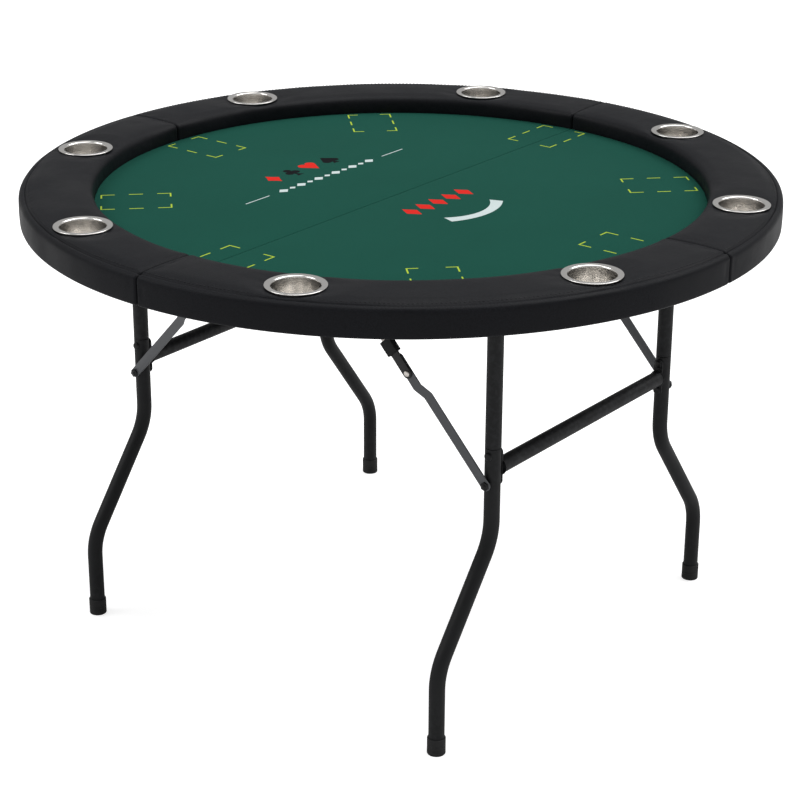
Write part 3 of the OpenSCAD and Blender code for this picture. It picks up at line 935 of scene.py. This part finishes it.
def club_parts():
    r = 0.19
    return [arc(cx, cy, r, 0, 345, 23) for cx, cy in ((0, 0.3), (-0.2, -0.02), (0.2, -0.02))] + [
        stem_points(0.2)]


def suits(settings):
    """The row of four suits on the left half, read from the right."""
    row = [("red", [diamond_outline()]), ("black", club_parts()),
           ("red", [heart_outline()]), ("black", spade_parts())]
    parts = {"red": [], "black": []}
    for i, (ink, outlines) in enumerate(row):
        y = (i - 1.5) * SUIT_PITCH
        place = (Matrix.Translation((SUIT_X, y, CLOTH_Z)) @ Matrix.Rotation(math.pi / 2, 4, "Z")
                 @ Matrix.Scale(settings.suit_h, 4))
        place = place @ Matrix.Diagonal((1, 1, 1 / settings.suit_h, 1))
        for level, points in enumerate(outlines):
            lift = Matrix.Translation((0, 0, level * 0.02 * MM))
            parts[ink].append(outline_slab(points, lift @ place))
    return parts


def lozenge(x, y, width, height):
    """A thin printed lozenge on the cloth."""
    place = Matrix.Translation((x, y, CLOTH_Z)) @ Matrix.Diagonal((width, height, 1, 1))
    return outline_slab([(0.5, 0), (0, 0.5), (-0.5, 0), (0, -0.5)], place)


def rule_and_beads():
    """Pale rules with a row of lozenges between them, and a red row beside a pale curved band."""
    pale, red = [], []
    for sy in (-1, 1):
        place = Matrix.Translation((RULE_X, sy * 173.5 * MM, CLOTH_Z))
        pale.append(slab(2.2 * MM, 57 * MM, place))
    for i in range(11):
        size = 11 * MM if i % 2 else 17 * MM
        pale.append(lozenge(RULE_X, (i - 5) * 22 * MM, size, size * 1.25))
    for i in range(5):
        red.append(lozenge(BAND_X, (i - 2) * 34 * MM, 40 * MM, 25 * MM))
    outer = arc(52 * MM, 0, 122 * MM, -34, 34, 24)
    inner = arc(74 * MM, 0, 84 * MM, 46, -46, 24)
    pale.append(outline_slab(outer + inner, Matrix.Translation((0, 0, CLOTH_Z))))
    return pale, red


class TABLE_OT_printed_marks(bpy.types.Operator):
    """Makes the seat marks, suits and pale ornament printed on the cloth"""
    bl_idname = "card_table.printed_marks"
    bl_label = "Printed marks"

    def execute(self, context):
        settings = context.scene.table_cloth
        boxes = [bar for i in range(8) for bar in seat_mark(settings, i)]
        by_suit = suits(settings)
        pale, red = rule_and_beads()
        prints = {
            "seat_marks": (boxes, settings.mark),
            "red_prints": (by_suit["red"] + red, settings.red),
            "black_prints": (by_suit["black"], settings.black),
            "pale_prints": (pale, settings.white),
        }
        for name, (parts, rgb) in prints.items():
            ink = cloth_finish(name, tuple(rgb), 0.0)
            add_piece(joined(*parts), name, ink, "top")
        return {"FINISHED"}


# ---------- Cup holders ----------

def cup_profile():
    """The turned shape of a cup holder: rolled flange, small step, straight wall, domed floor."""
    body_r = (CUP_HIGH.x - CUP_LOW.x) / 2 - 9 * MM
    flange_r = (CUP_HIGH.x - CUP_LOW.x) / 2
    top, low = CUP_HIGH.z, CUP_LOW.z
    wall, floor_r = 0.9 * MM, 5 * MM
    under = top - 1.3 * MM
    outside = [(0, low + 1.2 * MM), (body_r * 0.6, low + 0.7 * MM)]
    outside += arc(body_r - floor_r, low + floor_r, floor_r, -90, 0, 6)
    outside += [(body_r, low + 0.5 * (under - low)), (body_r, under)]
    flange = [(flange_r - 2 * MM, under)]
    flange += arc(flange_r - 1.0 * MM, top - 1.0 * MM, 1.0 * MM, -70, 100, 6)
    flange += [(flange_r - 4 * MM, top - 0.25 * MM), (body_r + 3.2 * MM, top - 0.35 * MM)]
    mouth_r = body_r - wall + 3.0 * MM
    flange += arc(mouth_r, top - 3.2 * MM, 2.9 * MM, 88, 180, 6)
    inside = [(body_r - wall, low + 0.5 * (under - low))]
    inside += arc(body_r - floor_r, low + floor_r, floor_r - wall, 0, -90, 6)
    inside += [(body_r * 0.62, low + 0.7 * MM + wall), (body_r * 0.3, low + 1.6 * MM + wall),
               (0, low + 1.9 * MM + wall)]
    return outside + flange + inside


def map_rounds(bm):
    """UV map of a turned shape: U runs round it, and V along its outline."""
    layer = bm.loops.layers.uv.new("UVMap")
    for face in bm.faces:
        mid = math.atan2(*reversed(face.calc_center_median().xy[:])) / math.tau
        for loop in face.loops:
            x, y, z = loop.vert.co
            r = math.hypot(x, y)
            u = math.atan2(y, x) / math.tau if r > 1e-6 else mid
            if u - mid > 0.5:
                u -= 1
            elif mid - u > 0.5:
                u += 1
            loop[layer].uv = (u, (r - z) * 10)


class TABLE_OT_cup_holders(bpy.types.Operator):
    """Makes the eight steel cup holders in the rail"""
    bl_idname = "card_table.cup_holders"
    bl_label = "Cup holders"

    def execute(self, context):
        settings = context.scene.table_cups
        steel = steel_finish(tuple(settings.steel))
        for k in range(1, 9):
            bm = spun(cup_profile(), settings.segments)
            bmesh.ops.recalc_face_normals(bm, faces=bm.faces[:])
            map_rounds(bm)
            turn = Matrix.Rotation(math.radians(45 * k - 22.5), 4, "Z")
            bmesh.ops.transform(bm, matrix=turn @ Matrix.Translation((CUP_RING, 0, 0)),
                                verts=bm.verts[:])
            add_piece(bm, f"cup_{k}", steel, "top", [f"cup_holder_{k}"],
                      sharp=math.radians(60))
        return {"FINISHED"}


# ---------- Leg frames, drawn for the right back quarter ----------

END_PLATE_T = 3 * MM
END_PLATE_HALF = 8 * MM
BAR_BELOW_PLATE_TOP = 33 * MM
SOLE_T = 5 * MM


def ring(bm, place, radius, segments):
    made = bmesh.ops.create_circle(bm, cap_ends=False, segments=segments, radius=radius,
                                   matrix=Matrix.Translation(place))
    verts = made["verts"]
    return list({e for v in verts for e in v.link_edges})


def drawn_out(bm, edges, move):
    """Extrudes a ring of edges along a move and returns the new ring."""
    geom = bmesh.ops.extrude_edge_only(bm, edges=edges)["geom"]
    verts = [g for g in geom if isinstance(g, bmesh.types.BMVert)]
    bmesh.ops.translate(bm, verts=verts, vec=Vector(move))
    return [g for g in geom if isinstance(g, bmesh.types.BMEdge)]


def swung(bm, edges, cent, angle):
    """Spins a ring of edges about an axis along X and returns the last ring."""
    verts = list({v for e in edges for v in e.verts})
    last = bmesh.ops.spin(bm, geom=verts + edges, cent=cent, axis=(1, 0, 0), angle=angle,
                          steps=10, use_duplicate=False)["geom_last"]
    return [g for g in last if isinstance(g, bmesh.types.BMEdge)]


def closed_ends(bm):
    bmesh.ops.remove_doubles(bm, verts=bm.verts[:], dist=1e-6)
    rims = [e for e in bm.edges if e.is_boundary]
    bmesh.ops.holes_fill(bm, edges=rims, sides=0)
    return bm


def upper_tube(segments):
    """Straight tube from the sleeve to the pivot, with the edges taken off its ends."""
    bm = bmesh.new()
    low, high = TUBE_LOW.z, TUBE_HIGH.z
    edges = ring(bm, (FRAME_X, LEG_Y, low), TUBE_R - 0.5 * MM, segments)
    for z, r in ((low + 0.5 * MM, TUBE_R), (high - 0.8 * MM, TUBE_R), (high, TUBE_R - 0.8 * MM)):
        edges = drawn_out(bm, edges, (0, 0, 0))
        for v in {v for e in edges for v in e.verts}:
            flat = Vector((v.co.x - FRAME_X, v.co.y - LEG_Y)).normalized() * r
            v.co = (FRAME_X + flat.x, LEG_Y + flat.y, z)
    return closed_ends(bm)


def lower_leg(settings):
    """Bent tube from the sleeve to the foot: straight, bend, slope, bend, ankle."""
    splay = FOOT_Y - LEG_Y
    slope_out, slope_down = 0.6, 0.8
    bend = math.atan2(slope_out, slope_down)
    run = settings.bend_r * math.tan(bend / 2)
    knee_z = settings.ankle_z + splay * slope_down / slope_out
    slope_l = splay / slope_out - 2 * run
    top = TUBE_LOW.z - 0.4 * MM
    bm = bmesh.new()
    edges = ring(bm, (FRAME_X, LEG_Y, top), TUBE_R - 0.5 * MM, settings.segments)
    edges = drawn_out(bm, edges, (0, 0, -0.5 * MM))
    for v in {v for e in edges for v in e.verts}:
        flat = Vector((v.co.x - FRAME_X, v.co.y - LEG_Y)).normalized() * TUBE_R
        v.co.xy = (FRAME_X + flat.x, LEG_Y + flat.y)
    edges = drawn_out(bm, edges, (0, 0, knee_z + run - top + 0.5 * MM))
    edges = swung(bm, edges, (FRAME_X, LEG_Y + settings.bend_r, knee_z + run), bend)
    edges = drawn_out(bm, edges, (0, slope_l * slope_out, -slope_l * slope_down))
    ankle_top = settings.ankle_z - run
    edges = swung(bm, edges, (FRAME_X, FOOT_Y - settings.bend_r, ankle_top), -bend)
    drawn_out(bm, edges, (0, 0, SOLE_T - ankle_top))
    return closed_ends(bm)


def foot_cap():
    """Moulded cap: rounded sole, ribbed wall and a rolled lip round the tube."""
    high = FEET_HIGH.z
    points = [(0, 0), (FOOT_R - 2.2 * MM, 0)]
    points += arc(FOOT_R - 1.6 * MM, 1.6 * MM, 1.6 * MM, -70, 0, 4)
    for i in range(3):
        z = 7 * MM + i * 4 * MM
        points += [(FOOT_R, z), (FOOT_R - 0.5 * MM, z + 0.5 * MM),
                   (FOOT_R - 0.5 * MM, z + 1.2 * MM), (FOOT_R, z + 1.7 * MM)]
    points += arc(FOOT_R - 1.2 * MM, high - 1.2 * MM, 1.2 * MM, 0, 90, 4)
    points += [(TUBE_R + 0.15 * MM, high), (TUBE_R + 0.15 * MM, high - 6 * MM), (0, high - 6 * MM)]
    bm = spun(points, 48)
    bmesh.ops.translate(bm, verts=bm.verts[:], vec=(FRAME_X, FOOT_Y, 0))
    return bm


def along_y(bm, x, y, z, outward=1):
    """Lays a shape turned about Z along Y, with its base at y."""
    turn = Matrix.Rotation(-math.pi / 2 * outward, 4, "X")
    bmesh.ops.transform(bm, matrix=Matrix.Translation((x, y, z)) @ turn, verts=bm.verts[:])
    return bm


def dome_head(radius, height):
    """A domed bolt or rivet head with a small flat rim."""
    points = [(0, 0), (radius, 0), (radius, 0.35 * height)]
    points += [(radius * 0.97 * math.cos(math.radians(a)),
                height * (0.38 + 0.62 * math.sin(math.radians(a)))) for a in range(12, 90, 13)]
    points += [(0, height)]
    return spun(points, 32)


def hex_nut(radius, height):
    """A six-sided nut with rounded corners."""
    bm = bmesh.new()
    bmesh.ops.create_cone(bm, cap_ends=True, segments=6, radius1=radius, radius2=radius,
                          depth=height, matrix=Matrix.Translation((0, 0, height / 2)))
    bevel_sharp(bm, 0.4 * MM)
    return bm


def plate_outline(x, low, high, half):
    """A plate's outline in X and Z: straight sides and round ends."""
    return arc(x, high, half, 0, 180, 14) + arc(x, low, half, 180, 360, 14)


def crossbar(settings):
    """Round bar between two end plates."""
    low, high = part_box("right_crossbar")
    reach = high.y
    half = END_PLATE_HALF
    bar_z = high.z - BAR_BELOW_PLATE_TOP
    bar = bmesh.new()
    edges = ring(bar, (0, 0, 0), TUBE_R, settings.segments)
    drawn_out(bar, edges, (0, 0, 2 * (reach - END_PLATE_T)))
    closed_ends(bar)
    along_y(bar, FRAME_X, -(reach - END_PLATE_T), bar_z)
    parts = [bar]
    for sy in (-1, 1):
        plate = bmesh.new()
        outline = plate_outline(FRAME_X, low.z + half, high.z - half, half)
        face = plate.faces.new([plate.verts.new((x, 0, z)) for x, z in outline])
        up = bmesh.ops.extrude_face_region(plate, geom=[face])["geom"]
        bmesh.ops.translate(plate, vec=(0, END_PLATE_T, 0),
                            verts=[g for g in up if isinstance(g, bmesh.types.BMVert)])
        bevel_sharp(plate, 0.5 * MM)
        bmesh.ops.translate(plate, vec=(0, reach - END_PLATE_T, 0), verts=plate.verts[:])
        bead = weld_bead(reach - END_PLATE_T, bar_z)
        for bm in (plate, bead):
            bmesh.ops.recalc_face_normals(bm, faces=bm.faces[:])
            mirrored(bm, 1, sy)
        parts += [plate, bead]
    return joined(*parts)


def weld_bead(y, z):
    """The rippled bead where the bar meets a plate."""
    bm = bmesh.new()
    verts = [bm.verts.new((TUBE_R + dx * MM, 0, dz * MM))
             for dx, dz in ((-0.6, 0), (1.6, 0), (1.3, 1.0), (0.4, 1.9), (-0.6, 2.2))]
    edges = [bm.edges.new(pair) for pair in zip(verts, verts[1:] + verts[:1])]
    bmesh.ops.spin(bm, geom=verts + edges, cent=(0, 0, 0), axis=(0, 0, 1), angle=math.tau,
                   steps=72, use_merge=True, use_duplicate=False)
    for v in bm.verts:
        turn = math.atan2(v.co.y, v.co.x)
        v.co.xy *= 1 + 0.012 * math.sin(24 * turn)
    bmesh.ops.recalc_face_normals(bm, faces=bm.faces[:])
    return along_y(bm, FRAME_X, y, z, outward=-1)


def frame_bolts():
    """Domed bolts and their heads on one leg, inside and outside the frame."""
    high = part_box("right_frame_bolts")[1]
    head_r, head_h = 6.5 * MM, 3 * MM
    inner_y = high.y - head_h - 2 * TUBE_R - END_PLATE_T
    outer_y = LEG_Y + TUBE_R
    bolt_z = high.z - head_r
    parts = [along_y(dome_head(head_r, head_h), FRAME_X, outer_y, bolt_z),
             along_y(dome_head(head_r, head_h), FRAME_X, inner_y, bolt_z, -1),
             along_y(dome_head(head_r, head_h), FRAME_X, inner_y, BRACE_PIVOT.z, -1)]
    for z, r, extra in ((bolt_z, 3 * MM, 0), (BRACE_PIVOT.z, 4 * MM, -0.2 * MM)):
        long = outer_y + extra - inner_y
        shank = spun([(0, 0), (r, 0), (r, long), (0, long)], 24)
        parts.append(along_y(shank, FRAME_X, inner_y, z))
    return parts


class TABLE_OT_leg_frames(bpy.types.Operator):
    """Makes the two folding leg frames: tubes, crossbars, bolts and foot caps"""
    bl_idname = "card_table.leg_frames"
    bl_label = "Leg frames"

    def execute(self, context):
        settings = context.scene.table_frame
        paint = paint_finish("frame_paint", tuple(settings.paint))
        black = paint_finish("bolt_black", lighter(tuple(settings.paint), 0.8), 0.28)
        rubber = rubber_finish(tuple(settings.rubber))
        for side, sx in SIDES.items():
            body = f"{side}_leg_frame"
            add_piece(mirrored(crossbar(settings), sx, 1), f"{side}_cross_tube", paint, body,
                      [f"{side}_crossbar"])
            bolts, caps = [], []
            for row, sy in ROWS.items():
                quarter = f"{side}_{row}"
                add_piece(mirrored(upper_tube(settings.segments), sx, sy), f"{quarter}_top_tube",
                          paint, body, [f"{quarter}_upper_tube"])
                add_piece(mirrored(lower_leg(settings), sx, sy), f"{quarter}_bent_leg",
                          paint, body, [f"{quarter}_lower_leg"])
                bolts += [mirrored(bm, sx, sy) for bm in frame_bolts()]
                caps.append(mirrored(foot_cap(), sx, sy))
            add_piece(joined(*bolts), f"{side}_bolts", black, body,
                      [f"{side}_frame_bolts"])
            add_piece(joined(*caps), f"{side}_foot_caps", rubber, body,
                      [f"{side}_feet"])
        return {"FINISHED"}


# ---------- Braces ----------
# Drawn along X from the pivot on the leg to the anchor under the top, with Y outwards.

def brace_matrix():
    along = Vector((ANCHOR.x - BRACE_PIVOT.x, 0, ANCHOR.z - BRACE_PIVOT.z)).normalized()
    out = Vector((0, 1, 0))
    third = along.cross(out)
    turn = Matrix((along, out, third)).transposed().to_4x4()
    return Matrix.Translation((BRACE_PIVOT.x, 0, BRACE_PIVOT.z)) @ turn


LINK_W = 16 * MM
TAIL = 34 * MM
RAMP = (44 * MM, 25 * MM)


def flat_bar(x0, x1, y):
    """A flat bar with round ends, between the end circles' centres x0 and x1."""
    bm = bmesh.new()
    for x in (x0, x1):
        for level in (y, y + LINK_T):
            turn = Matrix.Rotation(math.pi / 2, 4, "X")
            bmesh.ops.create_circle(bm, segments=40, radius=LINK_W / 2,
                                    matrix=Matrix.Translation((x, level, 0)) @ turn)
    bmesh.ops.convex_hull(bm, input=bm.verts[:])
    bmesh.ops.dissolve_limit(bm, angle_limit=math.radians(2), verts=bm.verts[:], edges=bm.edges[:])
    return bm


def lower_link():
    """The black link: joggled outwards below its knee, with a tail past it."""
    bm = flat_bar(0, LOWER_LINK_L + TAIL - LINK_W / 2, LOWER_LINK_Y)
    for x in (LOWER_LINK_L - RAMP[0], LOWER_LINK_L - RAMP[1]):
        bmesh.ops.bisect_plane(bm, geom=bm.verts[:] + bm.edges[:] + bm.faces[:],
                               plane_co=(x, 0, 0), plane_no=(1, 0, 0))
    for v in bm.verts:
        t = (v.co.x - (LOWER_LINK_L - RAMP[0])) / (RAMP[0] - RAMP[1])
        v.co.y += JOGGLE * min(1.0, max(0.0, t))
    bevel_sharp(bm, 0.6 * MM)
    return bm


def upper_link():
    bm = flat_bar(LOWER_LINK_L, BRACE_L, UPPER_LINK_Y)
    bevel_sharp(bm, 0.5 * MM)
    return bm


def lock_collar():
    """A pressed square sleeve that slides on the upper link."""
    low_x = LOWER_LINK_L + TAIL + 2 * MM
    slack, wall, reach = 0.3 * MM, 3.6 * MM, 25 * MM
    outer_y, outer_z = LINK_T / 2 + slack + wall, 11 * MM
    mid_y = UPPER_LINK_Y + LINK_T / 2
    bm = bmesh.new()
    loops = []
    for half_y, half_z in ((LINK_T / 2 + slack, LINK_W / 2 + slack), (outer_y, outer_z)):
        verts = [bm.verts.new((low_x, mid_y + sy * half_y, sz * half_z))
                 for sy, sz in ((-1, -1), (1, -1), (1, 1), (-1, 1))]
        loops += [bm.edges.new(pair) for pair in zip(verts, verts[1:] + verts[:1])]
    faces = bmesh.ops.bridge_loops(bm, edges=loops)["faces"]
    up = bmesh.ops.extrude_face_region(bm, geom=faces)["geom"]
    bmesh.ops.translate(bm, vec=(reach, 0, 0),
                        verts=[g for g in up if isinstance(g, bmesh.types.BMVert)])
    bmesh.ops.recalc_face_normals(bm, faces=bm.faces[:])
    outer = [e for e in bm.edges
             if all(max(abs(v.co.z) / outer_z, abs(v.co.y - mid_y) / outer_y) > 0.99
                    for v in e.verts) and e.calc_face_angle(0) > 1]
    bmesh.ops.bevel(bm, geom=outer, offset=1.2 * MM, offset_type="OFFSET", affect="EDGES",
                    segments=3, profile=0.5, material=-1)
    return bm


def knee_rivet():
    shank_low = LOWER_LINK_Y + JOGGLE - 0.3 * MM
    shank_high = UPPER_LINK_Y + LINK_T
    shank = along_y(spun([(0, 0), (3 * MM, 0), (3 * MM, shank_high - shank_low),
                          (0, shank_high - shank_low)], 24), LOWER_LINK_L, shank_low, 0)
    return joined(shank, along_y(dome_head(5 * MM, 2.2 * MM), LOWER_LINK_L, shank_high, 0),
                  along_y(dome_head(5 * MM, 2 * MM), LOWER_LINK_L, shank_low, 0, -1))


def brace_bolt():
    base = LEG_Y + TUBE_R + 0.4 * MM
    face = LOWER_LINK_Y + LINK_T
    washer_r, washer_t = 6.5 * MM, LOWER_LINK_Y - base
    washer = spun([(0, 0), (washer_r, 0), (washer_r, washer_t), (0, washer_t)], 32)
    return joined(along_y(washer, 0, base, 0), along_y(hex_nut(7.4 * MM, 2.6 * MM), 0, face, 0),
                  along_y(dome_head(4.6 * MM, 4 * MM), 0, face, 0))


def upper_link_finish(zinc, paint):
    """Zinc with black paint up to the lock collar."""
    made, tree, shader = new_material("link_zinc_and_paint")
    place = object_place(tree)
    parts = node(tree, "ShaderNodeSeparateXYZ", {"Vector": place}).outputs
    height = sums(tree, "ADD", parts["Z"], sums(tree, "MULTIPLY", noise_value(tree, place, 300.0),
                                                0.6 * MM))
    line = BRACE_PIVOT.z + (LOWER_LINK_L + TAIL + 14 * MM) * (ANCHOR.z - BRACE_PIVOT.z) / BRACE_L
    bare = ramp(tree, height, line, line + 0.4 * MM)
    rub = placed(tree, wear(), Amount=0.6)
    shade = tinted(tree, rub["Smudge"], lighter(zinc, 0.85), zinc)
    feed(tree, shader, "Base Color", tinted(tree, bare, paint, shade))
    feed(tree, shader, "Metallic", bare)
    feed(tree, shader, "Roughness", ramp(tree, bare, 0.0, 1.0, 0.45, 0.34))
    bumped(tree, shader, noise_value(tree, place, 800.0, 2.0), 0.2, 0.08 * MM)
    return made


class TABLE_OT_braces(bpy.types.Operator):
    """Makes the four locking braces: links, collars, knee rivets and pivot bolts"""
    bl_idname = "card_table.braces"
    bl_label = "Braces"

    def execute(self, context):
        settings = context.scene.table_frame
        paint = bpy.data.materials["frame_paint"]
        black = bpy.data.materials["bolt_black"]
        collar = paint_finish("collar_black", lighter(tuple(settings.paint), 0.7), 0.5)
        rivet = zinc_finish("rivet_steel", lighter(tuple(settings.zinc), 1.3), 0.25)
        link = upper_link_finish(tuple(settings.zinc), tuple(settings.paint))
        shapes = (
            (lower_link, "lower_arm", paint, "lower_brace", "frame_paint", "lower_link"),
            (brace_bolt, "arm_bolt", black, "lower_brace", "frame_paint", "brace_bolt"),
            (upper_link, "upper_arm", link, "upper_brace", "zinc", "upper_link"),
            (knee_rivet, "arm_rivet", rivet, "upper_brace", "fastener_steel", "knee_rivet"),
            (lock_collar, "slide_lock", collar, "lock_collar", "collar_black", "lock_collar"),
        )
        for side, row in QUARTERS:
            for make, name, material, body, slot, cad in shapes:
                bm = make()
                bmesh.ops.transform(bm, matrix=brace_matrix(), verts=bm.verts[:])
                add_piece(mirrored(bm, SIDES[side], ROWS[row]), f"{side}_{row}_{name}", material,
                          f"{side}_{row}_{body}", [f"{side}_{row}_{cad}"])
        return {"FINISHED"}


# ---------- Boards and hardware under the top ----------

class TABLE_OT_underside(bpy.types.Operator):
    """Gives the boards, rail cores, plates, brackets, pins and screws their finishes"""
    bl_idname = "card_table.underside"
    bl_label = "Underside"

    def execute(self, context):
        settings = context.scene.table_frame
        zinc = zinc_finish("plate_zinc", tuple(settings.zinc))
        screw = zinc_finish("screw_steel", lighter(tuple(settings.zinc), 1.2), 0.28)
        board = board_finish(tuple(settings.board))
        core = board_finish((0.32, 0.22, 0.13))
        core.name = "core_wood"
        finishes = {
            board: ("left_board", "right_board"),
            core: ("left_rail_core", "right_rail_core"),
            zinc: ("joining_plates", "brace_anchors"),
            screw: ("board_screws", "leg_pivot_pins", "anchor_pins"),
            bpy.data.materials["frame_paint"]: ("leg_brackets",),
        }
        for material, nodes in finishes.items():
            for name in nodes:
                finish_cad(name, material)
        return {"FINISHED"}


def finish_cad(name, material):
    """Puts a finish on a CAD node that stays as it is."""
    made = frame["nodes"][name]
    made.data.materials.clear()
    made.data.materials.append(material)


# ---------- Panel and registration ----------

OPERATORS = (
    TABLE_OT_stage, TABLE_OT_padded_rail, TABLE_OT_playing_cloth, TABLE_OT_printed_marks,
    TABLE_OT_cup_holders, TABLE_OT_leg_frames, TABLE_OT_braces, TABLE_OT_underside,
)
SETTINGS = {
    "table_rail": RailSettings, "table_cloth": ClothSettings, "table_cups": CupSettings,
    "table_frame": FrameSettings, "table_stage": StageSettings,
}


class TABLE_PT_panel(bpy.types.Panel):
    """Lists the table's pieces and their settings"""
    bl_idname = "TABLE_PT_panel"
    bl_label = "Card Table"
    bl_space_type = "VIEW_3D"
    bl_region_type = "UI"
    bl_category = "Card Table"

    def draw(self, context):
        for operator in OPERATORS:
            self.layout.operator(operator.bl_idname)
        for name, kind in SETTINGS.items():
            box = self.layout.box()
            for prop in kind.__annotations__:
                box.prop(getattr(context.scene, name), prop)


def register():
    for kind in (*SETTINGS.values(), *OPERATORS, TABLE_PT_panel):
        bpy.utils.register_class(kind)
    for name, kind in SETTINGS.items():
        setattr(bpy.types.Scene, name, PointerProperty(type=kind))


def unregister():
    for name in SETTINGS:
        delattr(bpy.types.Scene, name)
    for kind in reversed((*SETTINGS.values(), *OPERATORS, TABLE_PT_panel)):
        bpy.utils.unregister_class(kind)


def main():
    register()
    for operator in OPERATORS:
        group_name, call = operator.bl_idname.split(".")
        getattr(getattr(bpy.ops, group_name), call)()


if __name__ == "__main__":
    main()
